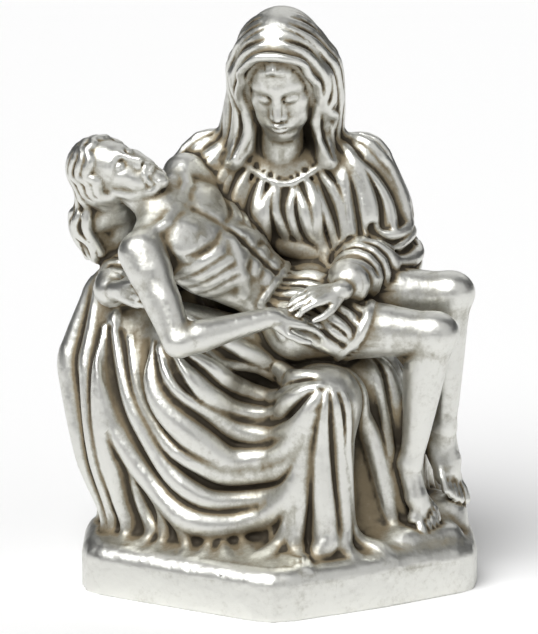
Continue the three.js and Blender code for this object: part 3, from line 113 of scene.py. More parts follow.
def place(origin, axes, p):
    """The point that p is in a frame with that origin and those axes."""
    return add(origin, add(mul(axes[0], p[0]), add(mul(axes[1], p[1]), mul(axes[2], p[2]))))


def curve(points, count):
    """count + 1 points on a smooth curve through the given ones, which may have 3 numbers or 4."""
    out = []
    last = len(points) - 1
    for i in range(count + 1):
        s = i / count * last
        k = min(int(s), last - 1)
        t = s - k
        p = [points[max(k - 1, 0)], points[k], points[k + 1], points[min(k + 2, last)]]
        w = [(-t + 2 * t * t - t * t * t) / 2, (2 - 5 * t * t + 3 * t * t * t) / 2,
             (t + 4 * t * t - 3 * t * t * t) / 2, (t * t * t - t * t) / 2]
        out.append([sum(w[j] * p[j][c] for j in range(4)) for c in range(len(points[0]))])
    return out


def smooth_min(a, b, k):
    if k <= 0:
        return np.minimum(a, b)
    h = np.maximum(k - np.abs(a - b), 0) / k
    return np.minimum(a, b) - h * h * (k / 4)


class Shape:
    """Has a box that holds it, from low to high, and a distance at every point."""

    def grid(self, axes):
        x, y, z = axes
        return self.distance(x[:, None, None], y[None, :, None], z[None, None, :])

    def points(self, p):
        return self.distance(p[:, 0], p[:, 1], p[:, 2])


class Ball(Shape):
    def __init__(self, centre, radius):
        self.centre, self.radius = centre, radius
        self.low = np.array(centre, float) - radius
        self.high = np.array(centre, float) + radius

    def distance(self, x, y, z):
        c = self.centre
        return np.sqrt((x - c[0]) ** 2 + (y - c[1]) ** 2 + (z - c[2]) ** 2) - self.radius


class Bone(Shape):
    """A round rod from a to b whose radius goes from ra to rb."""

    def __init__(self, a, b, ra, rb):
        self.a, self.b, self.ra, self.rb = a, b, ra, rb
        r = max(ra, rb)
        self.low = np.minimum(a, b) - r
        self.high = np.maximum(a, b) + r
        self.run = sub(b, a)
        self.run2 = max(dot(self.run, self.run), 1e-9)

    def distance(self, x, y, z):
        a, n = self.a, self.run
        x, y, z = x - a[0], y - a[1], z - a[2]
        t = np.clip((x * n[0] + y * n[1] + z * n[2]) / self.run2, 0, 1)
        return (np.sqrt((x - t * n[0]) ** 2 + (y - t * n[1]) ** 2 + (z - t * n[2]) ** 2)
                - (self.ra + (self.rb - self.ra) * t))


class Egg(Shape):
    """An ellipsoid: its centre, its three radii and its three axes."""

    def __init__(self, centre, radii, axes):
        self.centre, self.radii, self.axes = centre, radii, axes
        reach = np.sqrt(sum((np.array(axes[i]) * radii[i]) ** 2 for i in range(3)))
        self.low = np.array(centre) - reach
        self.high = np.array(centre) + reach

    def distance(self, x, y, z):
        c = self.centre
        x, y, z = x - c[0], y - c[1], z - c[2]
        near = 0
        far = 0
        for axis, r in zip(self.axes, self.radii):
            q = (x * axis[0] + y * axis[1] + z * axis[2]) / r
            near = near + q * q
            far = far + q * q / (r * r)
        near = np.sqrt(near)
        return near * (near - 1) / np.maximum(np.sqrt(far), 1e-6)


class Slab(Shape):
    """A box with round edges: its centre, its three half sizes, its edge radius and its axes."""

    def __init__(self, centre, half, edge, axes):
        self.centre, self.half, self.edge, self.axes = centre, half, edge, axes
        reach = sum(np.abs(np.array(axes[i])) * half[i] for i in range(3))
        self.low = np.array(centre) - reach
        self.high = np.array(centre) + reach

    def distance(self, x, y, z):
        c = self.centre
        x, y, z = x - c[0], y - c[1], z - c[2]
        out2 = 0
        inside = None
        for axis, h in zip(self.axes, self.half):
            q = np.abs(x * axis[0] + y * axis[1] + z * axis[2]) - (h - self.edge)
            out2 = out2 + np.maximum(q, 0) ** 2
            inside = q if inside is None else np.maximum(inside, q)
        return np.sqrt(out2) + np.minimum(inside, 0) - self.edge


class Form(Shape):
    """Shapes joined and cut in order, each with a soft seam of its own width."""

    def __init__(self, band=BAND):
        self.band = band
        self.steps = []
        self.low = np.full(3, 1e9)
        self.high = np.full(3, -1e9)

    def add(self, shape, seam=0.0):
        self.steps.append((1, shape, seam))
        self.low = np.minimum(self.low, shape.low)
        self.high = np.maximum(self.high, shape.high)
        return self

    def cut(self, shape, seam=0.0):
        self.steps.append((-1, shape, seam))
        return self

    def rod(self, points, radii, seam=0.0):
        """Adds a strand that has this form's band."""
        return self.add(strand(points, radii, self.band), seam)

    def lay(self, base, guides, seam):
        """Adds a strand along each guide, once it is settled on base."""
        for line in settle(base, guides):
            self.add(strand(line), seam)

    def grid(self, axes):
        field = np.full([len(a) for a in axes], FAR, np.float32)
        for sign, shape, seam in self.steps:
            pad = seam + self.band
            part = tuple(slice(np.searchsorted(a, lo - pad), np.searchsorted(a, hi + pad))
                         for a, lo, hi in zip(axes, shape.low, shape.high))
            if any(s.start >= s.stop for s in part):
                continue
            new = shape.grid([a[s] for a, s in zip(axes, part)])
            field[part] = sign * smooth_min(sign * field[part], new, seam)
        return field

    def points(self, p):
        value = np.full(len(p), FAR)
        low, high = p.min(axis=0), p.max(axis=0)
        for sign, shape, seam in self.steps:
            pad = seam + self.band
            start, stop = shape.low - pad, shape.high + pad
            if (start > high).any() or (stop < low).any():
                continue
            near = np.all((p > start) & (p < stop), axis=1)
            if near.any():
                value[near] = sign * smooth_min(sign * value[near], shape.points(p[near]), seam)
        return value


def strand(points, radii=None, band=BAND):
    """A round cord along points. Its radii are given, or are each point's fourth number."""
    form = Form(band)
    for i in range(len(points) - 1):
        ra = points[i][3] if radii is None else radii[i]
        rb = points[i + 1][3] if radii is None else radii[i + 1]
        form.add(Bone(points[i][:3], points[i + 1][:3], ra, rb), 0)
    return form


class Spot:
    """A place with three axes and a unit of its own, and what is put there in that unit."""

    def __init__(self, centre, across, along, size):
        self.centre, self.size = centre, size
        self.axes = frame(across, along)

    def at(self, *p):
        return place(self.centre, self.axes, mul(p, self.size))

    def egg(self, f, s, c, *radii):
        return Egg(self.at(f, s, c), mul(radii, self.size), self.axes)

    def strand(self, points, radii):
        return strand([self.at(*p) for p in points], [r * self.size for r in radii])

    def pinned(self, points):
        """Points with a radius each, in carved units."""
        return [[*self.at(*p[:3]), p[3] * self.size] for p in points]


def slope(form, p, step=0.4):
    """The unit way in which the form's distance grows fastest at each point."""
    way = np.zeros_like(p)
    for i in range(3):
        side = np.zeros(3)
        side[i] = step
        way[:, i] = form.points(p + side) - form.points(p - side)
    return way / np.maximum(np.linalg.norm(way, axis=1, keepdims=True), 1e-9)


def settle(form, guides):
    """Moves each point of each guide to the form's surface, then in by its fifth number."""
    p = np.array([q[:3] for g in guides for q in g], float)
    depth = np.array([q[4] for g in guides for q in g], float)
    for _ in range(SETTLE_ROUNDS):
        p = p - slope(form, p) * (form.points(p) * SETTLE_SHARE)[:, None]
    p = p - slope(form, p) * depth[:, None]
    spots = iter(p)
    return [[[*next(spots), q[3]] for q in g] for g in guides]


# Joints of the two figures, [right, back, up] from the middle of the plinth's top
M_PELVIS = [2, 20, 66]
M_WAIST = [1, 16, 98]
M_CHEST = [0, 6, 138]
M_NECK = [-1, 1, 166]
M_HEAD = [-1, -12, 195]
M_FACE = [-0.16, -0.87, -0.42]
M_CROWN = [-0.12, -0.45, 0.88]
M_HEAD_SIZE = 45
M_SHOULDERS = [[-29, 8, 158], [31, 7, 157]]
M_ELBOWS = [[-50, 14, 116], [40, 4, 118]]
M_WRISTS = [[-70, -24, 108], [22, -38, 110]]
M_HIPS = [[-14, 18, 68], [15, 18, 68]]
M_KNEES = [[-38, -32, 72], [15, -44, 64]]
M_ANKLES = [[-34, -28, 8], [11, -40, 10]]

S_PELVIS = [6, -18, 97]
S_NECK = [-50, -25, 143]
S_CHEST_FACES = [0.5, -0.62, 0.6]
S_HEAD = [-67, -22, 158]
S_FACE = [0.28, -0.7, 0.66]
S_CROWN = [-0.86, 0.06, 0.5]
S_HEAD_SIZE = 36
S_ELBOW_NEAR = [-42, -59, 93]
S_WRIST_NEAR = [-6, -48, 101]
S_ELBOW_FAR = [-8, 0, 128]
S_WRIST_FAR = [35, -13, 112]
S_HIPS = [[7, -26, 92], [14, -8, 102]]
S_KNEES = [[60, -36, 91], [68, -14, 104]]
S_ANKLES = [[51, -32, 35], [66, -14, 46]]

# The two heads' places, to the front, to the side and to the crown, in lengths from chin to crown
M_SKULL = Spot(M_HEAD, M_FACE, M_CROWN, M_HEAD_SIZE)
S_SKULL = Spot(S_HEAD, S_FACE, S_CROWN, S_HEAD_SIZE)


def head(skull):
    """A head without hair, its eyes closed."""
    form = Form()

    def lump(f, s, c, rf, rs, rc, seam):
        form.add(skull.egg(f, s, c, rf, rs, rc), seam * skull.size)

    def ridge(points, radii, seam):
        form.add(skull.strand(points, radii), seam * skull.size)

    def groove(points, radii, seam):
        form.cut(skull.strand(points, radii), seam * skull.size)

    # The skull, the face and the chin
    lump(-0.07, 0, 0.12, 0.395, 0.31, 0.38, 0)
    lump(0.08, 0, -0.13, 0.245, 0.235, 0.33, 0.1)
    lump(0.255, 0, -0.41, 0.085, 0.085, 0.08, 0.08)
    # The jaw, the cheeks, the eye sockets, the brows and the closed eyes
    for s in (-1, 1):
        ridge([[-0.02, 0.2 * s, -0.2], [0.02, 0.18 * s, -0.3], [0.2, 0.06 * s, -0.425]],
              [0.05, 0.05, 0.05], 0.09)
        lump(0.2, 0.165 * s, -0.085, 0.07, 0.075, 0.06, 0.08)
        lump(0.2, 0.13 * s, -0.19, 0.08, 0.085, 0.11, 0.08)
        lump(0.18, 0.13 * s, -0.29, 0.085, 0.08, 0.09, 0.08)
        form.cut(skull.egg(0.385, 0.1 * s, 0, 0.085, 0.07, 0.05), 0.06 * skull.size)
        ridge([[0.295, 0.04 * s, 0.08], [0.278, 0.12 * s, 0.105], [0.215, 0.19 * s, 0.08]],
              [0.022, 0.026, 0.02], 0.07)
        lump(0.264, 0.11 * s, -0.008, 0.062, 0.07, 0.052, 0.014)
    # The nose and the swell of the mouth, then the nose's sides and the lips
    ridge([[0.308, 0, 0.1], [0.335, 0, 0.03], [0.362, 0, -0.06], [0.408, 0, -0.158]],
          [0.03, 0.03, 0.028, 0.034], 0.05)
    lump(0.28, 0, -0.28, 0.082, 0.115, 0.1, 0.06)
    for s in (-1, 1):
        ridge([[0.3, 0.03 * s, -0.04], [0.34, 0.036 * s, -0.17]], [0.02, 0.032], 0.045)
        lump(0.356, 0.047 * s, -0.182, 0.032, 0.02, 0.026, 0.022)
        ridge([[0.372, 0, -0.268], [0.364, 0.04 * s, -0.266], [0.322, 0.1 * s, -0.292]],
              [0.018, 0.018, 0.008], 0.016)
        ridge([[0.37, 0, -0.322], [0.358, 0.04 * s, -0.319], [0.322, 0.088 * s, -0.301]],
              [0.021, 0.019, 0.008], 0.016)
    # The line between the lips, the groove over them, the nostrils and the lids' edges
    groove([[0.33, -0.09, -0.294], [0.378, -0.04, -0.295], [0.39, 0, -0.297], [0.378, 0.04, -0.295],
            [0.33, 0.09, -0.294]], [0.005, 0.006, 0.006, 0.006, 0.005], 0.008)
    groove([[0.4, 0, -0.21], [0.39, 0, -0.245]], [0.008, 0.009], 0.014)
    for s in (-1, 1):
        groove([[0.37, 0.024 * s, -0.215], [0.395, 0.02 * s, -0.205]], [0.012, 0.009], 0.012)
        groove([[0.295, 0.05 * s, -0.02], [0.325, 0.085 * s, -0.037], [0.325, 0.12 * s, -0.038],
                [0.293, 0.168 * s, -0.018]], [0.006, 0.0065, 0.0065, 0.006], 0.008)
        groove([[0.303, 0.055 * s, 0.014], [0.333, 0.09 * s, 0.036], [0.33, 0.13 * s, 0.036],
                [0.288, 0.17 * s, 0.012]], [0.005, 0.006, 0.006, 0.005], 0.012)
        ridge([[0.298, 0.05 * s, -0.014], [0.322, 0.085 * s, -0.027], [0.322, 0.12 * s, -0.028],
               [0.293, 0.168 * s, -0.01]], [0.005, 0.006, 0.006, 0.005], 0.006)
    # The hollow under the lips
    groove([[0.37, -0.045, -0.368], [0.382, 0, -0.366], [0.37, 0.045, -0.368]], [0.012, 0.018, 0.012], 0.04)
    return form


def hand(wrist, along, palm, thumb, size, curls, thumb_curl):
    """A hand whose fingers bend towards palm. thumb is 1 or -1 for the side it is on, and the
    curls are how far each finger and the thumb bend at the root, in degrees."""
    axes = frame(palm, along)
    at = lambda a, c, p: place(wrist, axes, [p * size, c * thumb * size, a * size])
    way = lambda a, c, p: place([0, 0, 0], axes, [p, c * thumb, a])
    form = Form()

    def bone(a, b, ra, rb, seam):
        form.add(Bone(a, b, ra * size, rb * size), seam * size)

    sides = [0.155, 0.052, -0.052, -0.15]
    roots = [0.47, 0.49, 0.47, 0.43]
    reaches = [0.45, 0.49, 0.46, 0.37]
    # A finger's three parts: each one's share of its reach, its radii and how much more the next one bends
    parts = [[0.45, 0.054, 0.05, 1.1], [0.3, 0.05, 0.045, 0.8], [0.25, 0.045, 0.036, 0]]
    bone(at(-0.04, 0.03, 0), at(0.1, 0.03, 0), 0.125, 0.12, 0)
    for side, root in zip(sides, roots):
        bone(at(0.08, 0.4 * side, 0), at(root, side, 0), 0.1, 0.068, 0.03)
    form.add(Ball(at(0.2, 0.13, 0.05), 0.1 * size), 0.05 * size)
    for side, root, reach, curl in zip(sides, roots, reaches, curls):
        bend = curl * math.pi / 180
        tip = at(root, side, 0)
        for share, ra, rb, more in parts:
            knuckle = tip
            tip = add(knuckle, mul(way(math.cos(bend), 0.5 * side, math.sin(bend)), reach * share * size))
            bone(knuckle, tip, ra, rb, 0.012)
            bend += curl * more * math.pi / 180
    bend = thumb_curl * math.pi / 180
    knuckle = at(0.26, 0.27, 0.1)
    joint = add(knuckle, mul(way(math.cos(bend), 0.45, math.sin(bend)), 0.17 * size))
    tip = add(joint, mul(way(math.cos(bend), 0.1, 1.2 * math.sin(bend)), 0.15 * size))
    bone(at(0.1, 0.12, 0.06), knuckle, 0.085, 0.062, 0.04)
    bone(knuckle, joint, 0.062, 0.055, 0.015)
    bone(joint, tip, 0.056, 0.042, 0.01)
    return form


def foot(ankle, along, down, big, size, curl):
    """A bare foot: its toes point along and its sole faces down. big is 1 or -1 for the big toe's
    side, and curl is how far the toes bend down."""
    axes = frame(mul(down, -1), along)
    at = lambda a, c, u: place(ankle, axes, [u * size, c * big * size, a * size])
    form = Form()

    def bone(a, b, ra, rb, seam):
        form.add(Bone(a, b, ra * size, rb * size), seam * size)

    bone(at(0, 0, 0), at(-0.06, 0, -0.1), 0.104, 0.115, 0)
    form.add(Ball(at(-0.15, 0, -0.17), 0.118 * size), 0.06 * size)
    bone(at(0.02, 0.02, -0.05), at(0.34, 0.05, -0.15), 0.12, 0.095, 0.06)
    bone(at(-0.06, 0, -0.12), at(0.42, 0, -0.2), 0.115, 0.09, 0.05)
    bone(at(0.34, 0.05, -0.15), at(0.55, 0.06, -0.23), 0.095, 0.062, 0.05)
    bone(at(-0.1, -0.03, -0.21), at(0.5, -0.07, -0.25), 0.09, 0.062, 0.06)
    bone(at(0.52, 0.12, -0.235), at(0.46, -0.1, -0.25), 0.068, 0.055, 0.05)
    # The ankle bones, then the toes
    for s in (-1, 1):
        form.add(Ball(at(-0.01, 0.08 * s, -0.02 + 0.02 * s), 0.038 * size), 0.04 * size)
    sides = [0.115, 0.035, -0.025, -0.08, -0.13]
    ends = [0.76, 0.75, 0.715, 0.67, 0.61]
    radii = [0.058, 0.042, 0.04, 0.038, 0.038]
    for side, end, radius in zip(sides, ends, radii):
        root = at(end - 0.28, side * 0.72, -0.215)
        joint = at(end - 0.11, side, -0.222 + 0.01 * curl)
        tip = at(end, side * 1.04, -0.248 - 0.012 * curl)
        thick = radius * size
        form.rod([root, joint, tip], [0.8 * thick, 0.9 * thick, thick], 0.014 * size)
    return form


def arm(shoulder, elbow, wrist, front):
    """A bare arm with its shoulder and muscles."""
    form = Form()
    upper = lambda t, d: add(mix(shoulder, elbow, t), mul(front, d))
    lower = lambda t, d: add(mix(elbow, wrist, t), mul(front, d))
    form.add(Bone(upper(0, 0), upper(0.2, 0.6), 8.8, 8.2))
    form.rod([upper(0, 0), upper(0.22, 0), upper(0.55, 0), upper(1, 0)], [8.6, 8.2, 7.2, 5.9], 3)
    form.rod([upper(0.3, 2), upper(0.55, 2.4), upper(0.85, 1.2)], [4.6, 5.6, 3.8], 3)
    form.rod([upper(0.25, -2.2), upper(0.55, -2), upper(0.95, -1.5)], [4.6, 5.2, 3.6], 3)
    form.add(Ball(upper(1.02, -1.6), 4.3), 2)
    form.rod([lower(0, 0), lower(0.22, 0.5), lower(0.55, 0.2), lower(1, 0)], [5.9, 6.9, 5.5, 4.2], 2.5)
    return form


def leg(hip, knee, ankle, front):
    """A bare leg: front is the way the knee points."""
    form = Form()
    thigh = unit(sub(knee, hip))
    axes = frame(front, sub(knee, hip))
    upper = lambda t, d: add(mix(hip, knee, t), mul(front, d))
    # The shin's muscles lie off its line the way the thigh runs
    lower = lambda t, d: add(mix(knee, ankle, t), mul(thigh, d))
    form.rod([upper(-0.05, 0), upper(0.3, 0), upper(0.65, 0), upper(1, 0)], [14, 13, 10.8, 8.6])
    form.rod([upper(0.25, 2.5), upper(0.6, 3), upper(0.9, 1.5)], [9, 8, 5], 4)
    form.add(Ball(upper(0.99, 1.2), 7.4), 4)
    form.add(Egg(add(knee, mul(thigh, 4.4)), [4.4, 4.2, 3.6], axes), 3.5)
    form.rod([lower(0, 0), lower(0.22, -1.2), lower(0.5, -0.8), lower(0.8, 0), lower(1, 0)],
             [8.2, 8.3, 7.2, 5.5, 4.5], 3)
    form.rod([lower(0.12, -3.2), lower(0.3, -3.6), lower(0.55, -2.2)], [5.4, 6.3, 4], 3)
    form.rod([lower(0.1, 3), lower(0.5, 2.6), lower(0.9, 1.4)], [3, 2.4, 2], 2.5)
    return form


def trunk(pelvis, neck, faces):
    """The son's bare trunk, from pelvis to neck."""
    axes = frame(faces, sub(neck, pelvis))
    tall = length(sub(neck, pelvis))
    at = lambda f, s, c: place(pelvis, axes, [f, s, c * tall])
    egg = lambda f, s, c, rf, rs, rc: Egg(at(f, s, c), [rf, rs, rc], axes)
    form = Form(WIDE)
    form.add(egg(0.5, 0, 0.66, 14.2, 22, 25))
    form.add(egg(-0.6, 0, 0.3, 11.2, 16.6, 20), 8)
    form.add(egg(0, 0, 0.0, 13.5, 19.5, 16), 6)
    form.rod([at(-1, -25, 0.95), at(0, 0, 0.97), at(-1, 25, 0.95)], [7.5, 8.5, 7.5], 6)
    # What stands out of the trunk or is cut into it, as [x, y, z, radius, depth]
    ridges = []
    grooves = []
    for s in (-1, 1):
        form.add(egg(6.6, 9.6 * s, 0.8, 5.4, 12, 9.4), 3)
        form.rod([at(-4, 16 * s, 0.82), at(-3, 17 * s, 0.6), at(-2, 13 * s, 0.4)], [6.5, 5.5, 4], 5)
        form.rod([at(8.2, 2.5 * s, 0.94), at(8.5, 12 * s, 0.955), at(3, 24 * s, 1.0)], [1.9, 1.7, 2.0], 2.4)
        form.rod([at(-3, 17 * s, 0.95), at(3, 15 * s, 0.88), at(8, 9 * s, 0.84)], [5, 5, 4], 4)
        # The arch under the ribs, then the ribs
        ridges.append([[*at(14, 1.5 * s, 0.6), 2.4, 1.7], [*at(12.5, 6 * s, 0.54), 2.4, 1.3],
                       [*at(10.5, 11 * s, 0.45), 2.2, 1.2], [*at(6, 16 * s, 0.36), 1.8, 1.6]])
        for i in range(4):
            c = 0.68 - 0.07 * i
            ridges.append([[*at(10 - i, 10 * s, c - 0.05), 1.2, 1], [*at(7, 15 * s, c - 0.02), 1.4, 0.8],
                           [*at(2, 20 * s, c + 0.02), 1.4, 0.8], [*at(-3, 22 * s, c + 0.06), 1.2, 1]])
        # The muscles beside the midline, the groove under the chest and the nipple
        for i in range(3):
            ridges.append([[*at(12, 2.6 * s, 0.5 - 0.1 * i), 2, 1.4],
                           [*at(12, 4.6 * s, 0.495 - 0.1 * i), 2.4, 1.7],
                           [*at(11, 6.4 * s, 0.49 - 0.1 * i), 2, 1.4]])
        grooves.append([[*at(13, 3 * s, 0.68), 0.8, -0.6], [*at(13, 9 * s, 0.675), 1, -0.5],
                        [*at(11, 16 * s, 0.71), 1, -0.6], [*at(8, 20 * s, 0.76), 0.8, -0.7]])
        form.add(Ball(at(11.6, 11.5 * s, 0.745), 1), 1.6)
    grooves.append([[*at(15, 0, 0.88), 1, -0.9], [*at(15, 0, 0.76), 1.2, -0.7],
                    [*at(15, 0, 0.64), 1, -0.6], [*at(13, 0, 0.5), 1, -0.6], [*at(12, 0, 0.36), 1, -0.6],
                    [*at(12, 0, 0.26), 0.8, -0.6]])
    raised = settle(form, [curve(guide, 12) for guide in ridges])
    sunk = settle(form, [curve(guide, 15) for guide in grooves])
    for line in raised:
        form.add(strand(line), 2.6)
    for line in sunk:
        form.cut(strand(line), 2.6)
    # The navel
    form.cut(Ball(at(11.4, 0, 0.235), 1.4), 1.2)
    return form


def pleats(form, base, first, last, count, soft, end):
    """Folds between two guides, whose points are [x, y, z, height] and settle on base: ridges that
    wander a little, long and short by turns, with wide hollows between them. They rise from the
    base at their start, and end is the share of their height that they keep at their other end."""
    ridges = []
    hollows = []
    spans = len(first) - 1
    for i in range(count):
        swell = 1 + 0.22 * math.sin(1.9 * i + 0.7 * count)
        dip = 0.6 + 0.3 * math.sin(2.7 * i + 1.3 * count)
        ridge = []
        hollow = []
        for j, (a, b) in enumerate(zip(first, last)):
            gap = length(sub(a, b)) / (count - 1)
            t = (i + 0.22 * math.sin(1.7 * j + 2.4 * i + count)) / (count - 1)
            *ridge_spot, height = mix(a, b, t)
            tall = min(height, 0.5 * gap) * swell
            if j == 0:
                tall = 0.12 * tall
            if j == 1 and i % 2 == 1 and spans > 2:
                tall = 0.5 * tall
            if j == spans:
                tall = end * tall
            wide = 0.5 * gap
            hollow_spot = mix(a, b, t + 0.5 / (count - 1))[:3]
            ridge.append([*ridge_spot, tall, 0.1 * tall])
            hollow.append([*hollow_spot, wide, min(dip * tall, 0.9 * wide) - wide])
        ridges.append(curve(ridge, 10 * spans))
        hollows.append(curve(hollow, 6 * spans))
    hollows.pop()
    for line in settle(base, hollows):
        form.cut(strand(line), 0.5 * soft)
    form.lay(base, ridges, soft)


def ring(centre, way, radius, thick):
    """A round ring about the line through centre that runs along way."""
    axes = frame([0.3, -0.5, 0.8], way)
    turns = [i * math.pi / 6 for i in range(13)]
    spots = [[radius * math.cos(t), radius * math.sin(t), 0] for t in turns]
    return strand([[*place(centre, axes, p), thick] for p in spots])


def locks(form, base, first, last, count, waves, seam):
    """Locks of hair between two guides, whose points are [x, y, z, radius] and settle on base."""
    lines = []
    across = unit(sub(last[1], first[1]))
    for i in range(count):
        t = i / (count - 1)
        guide = [mix(a, b, t) for a, b in zip(first, last)]
        line = []
        for k, p in enumerate(curve(guide, 24)):
            sway = 0.75 * p[3] * math.sin(waves * 2 * math.pi * k / 24 + 1.3 * i)
            line.append([*add(p, mul(across, sway)), p[3], 0])
        lines.append(line)
    form.lay(base, lines, seam)


def gown():
    """The mother's body, arms and sleeves, without the folds."""
    form = Form(WIDE)
    level = frame([0, -1, 0], [0, 0, 1])
    body = frame([0, -1, 0], sub(M_CHEST, M_WAIST))
    form.add(Egg(M_CHEST, [14.5, 25, 27], body))
    form.add(Egg(M_WAIST, [15, 22, 22], body), 8)
    form.add(Egg(M_PELVIS, [20, 28, 22], level), 10)
    form.add(Egg(mix(M_WAIST, M_CHEST, 0.3), [18, 19, 20], body), 8)
    form.rod([M_SHOULDERS[0], add(M_NECK, [0, 4, -6]), M_SHOULDERS[1]], [11, 9, 11], 7)
    for s in (-1, 1):
        form.add(Egg(add(M_CHEST, [10 * s, -10, -3]), [8, 10, 11], body), 8)
        form.rod([[24 * s, 3, 148], [27 * s, 0, 128], [22 * s, -4, 106]], [11, 12, 13], 8)
    sleeves = ((0, [12.5, 15.5, 15], 1, [15, 6.5]), (1, [12.5, 15, 14.5], 0.78, [14.5, 8.5]))
    for i, upper, share, lower in sleeves:
        form.rod([M_SHOULDERS[i], mix(M_SHOULDERS[i], M_ELBOWS[i], 0.5), M_ELBOWS[i]], upper, 3)
        form.rod([M_ELBOWS[i], mix(M_ELBOWS[i], M_WRISTS[i], share)], lower, 5)
    return form


def dress():
    """The gown with its gathers, its folds and its neckline."""
    base = gown()
    form = Form().add(base)
    # The bodice: folds from the gathered neckline down to the waist
    pleats(form, base, [[-18, -5, 164, 1.2], [-24, -10, 156, 1.8], [-31, -13, 144, 2.6],
                        [-32, -12, 128, 2.6], [-30, -14, 114, 2.2], [-20, -16, 100, 1.4]],
           [[-1, -14, 153, 1.2], [-2, -15, 149, 1.8], [-3, -17, 140, 2.6], [-1, -18, 126, 2.6],
            [2, -19, 112, 2.4], [6, -19, 98, 1.4]], 7, 1.4, 0.5)
    pleats(form, base, [[2, -14, 153, 1.2], [3, -15, 149, 1.8], [3, -17, 140, 2.6], [5, -18, 126, 2.6],
                        [8, -19, 112, 2.4], [11, -19, 98, 1.4]],
           [[18, -5, 164, 1.2], [24, -9, 156, 1.8], [32, -13, 144, 2.6], [34, -12, 128, 2.6],
            [31, -13, 114, 2.2], [26, -17, 100, 1.4]], 7, 1.4, 0.5)
    # Her right sleeve: its upper part, then its lower part
    pleats(form, base, [[-17, -1, 167, 1], [-23, -6, 160, 3], [-33, -10, 140, 4], [-40, -8, 112, 3]],
           [[-20, 14, 171, 1], [-34, 16, 166, 3], [-60, 18, 142, 4], [-68, 18, 116, 3]], 8, 1.6, 0.3)
    pleats(form, base, [[-46, 0, 102, 3], [-56, -12, 98, 4], [-66, -20, 97, 2]],
           [[-62, 22, 124, 3], [-74, -2, 122, 4], [-76, -18, 116, 2]], 4, 2.6, 0.2)
    # Her left sleeve: its upper part, then folds that go round it
    pleats(form, base, [[18, -2, 166, 1], [24, -8, 158, 3], [28, -12, 140, 4], [30, -14, 112, 3]],
           [[20, 14, 170, 1], [36, 14, 164, 3], [56, 12, 140, 4], [56, 12, 114, 3]], 8, 1.6, 0.3)
    pleats(form, base, [[36, -9, 132, 0.3], [42, -8, 128, 2], [50, 0, 132, 2.6], [54, 14, 140, 0.5]],
           [[34, -14, 108, 0.3], [44, -12, 104, 2.4], [54, -2, 106, 2.8], [58, 14, 112, 0.5]], 5, 1.6, 0.3)
    # The backs of both sleeves
    pleats(form, base, [[-20, 20, 166, 1], [-40, 28, 152, 3], [-54, 30, 134, 4], [-62, 28, 112, 2.4]],
           [[-18, 20, 150, 1], [-28, 28, 136, 3], [-36, 34, 120, 4], [-42, 32, 104, 2.4]], 3, 3, 0.2)
    pleats(form, base, [[20, 20, 166, 1], [42, 24, 152, 3], [54, 22, 134, 4], [56, 20, 112, 2.4]],
           [[18, 20, 150, 1], [28, 26, 136, 3], [34, 24, 120, 4], [38, 22, 106, 2.4]], 3, 3, 0.2)
    # The cuffs and the gathers behind them
    for i, share, radius in ((0, 1, 6.2), (1, 0.82, 7.6)):
        forearm = sub(M_WRISTS[i], M_ELBOWS[i])
        for k in range(5):
            centre = mix(M_ELBOWS[i], M_WRISTS[i], share - 0.11 * k)
            way = add(unit(forearm), [0.16 * math.sin(2 * k), 0, 0.2 * math.cos(2.6 * k)])
            form.add(ring(centre, way, radius + (0.95 + 0.25 * share) * k, 1.5 + 0.15 * k), 1.6)
    # The rolled neckline
    collar = curve([[-20, -2, 167], [-16, -9, 160], [-8, -14, 154.5], [0, -15, 152], [8, -14, 154.5],
                    [16, -9, 160], [20, -2, 167]], 36)
    form.lay(base, [[[*p, 1.3, -0.2] for p in collar]], 0.9)
    return form


def lap():
    """The lap, the seat and the cloak that hangs over them to the plinth, without the folds."""
    form = Form(WIDE)
    level = frame([0, -1, 0], [0, 0, 1])
    tall = lambda x, y, z, rx, ry, rz: Egg([x, y, z], [ry, rx, rz], level)
    form.add(Slab([0, 12, 28], [26, 50, 36], 16, level))
    form.add(Egg([0, -6, -6], [58, 78, 14], level), 8)
    form.rod([M_HIPS[0], M_KNEES[0]], [19, 14], 12)
    form.rod([M_HIPS[1], M_KNEES[1]], [19, 13], 12)
    form.rod([M_KNEES[0], M_ANKLES[0]], [13.5, 16], 10)
    form.rod([M_KNEES[1], M_ANKLES[1]], [13, 16], 10)
    form.add(tall(-10, -18, 26, 24, 24, 44), 14)
    form.rod([[-65, 0, 100], [-66.5, -2, 72], [-59, -6, 36], [-48, -8, 0]], [16, 21, 21, 19], 14)
    form.add(tall(-48, -10, 50, 30, 24, 50), 14)
    form.rod([[-13, 12, 164], [-23, 16, 142], [-30, 24, 108], [-38, 20, 54], [-42, 16, 0]],
             [8, 14, 19, 24, 24], 14)
    form.rod([[13, 12, 164], [23, 16, 142], [30, 24, 108], [34, 20, 54], [36, 16, 0]],
             [8, 14, 19, 24, 24], 14)
    form.add(tall(0, 20, 64, 30, 22, 90), 14)
    form.rod([[34, -16, 66], [38, -16, 40], [38, -16, 0]], [13, 15, 18], 14)
    form.rod([[-40, -28, 92], [-20, -24, 86], [4, -18, 78]], [11, 11, 9], 10)
    return form


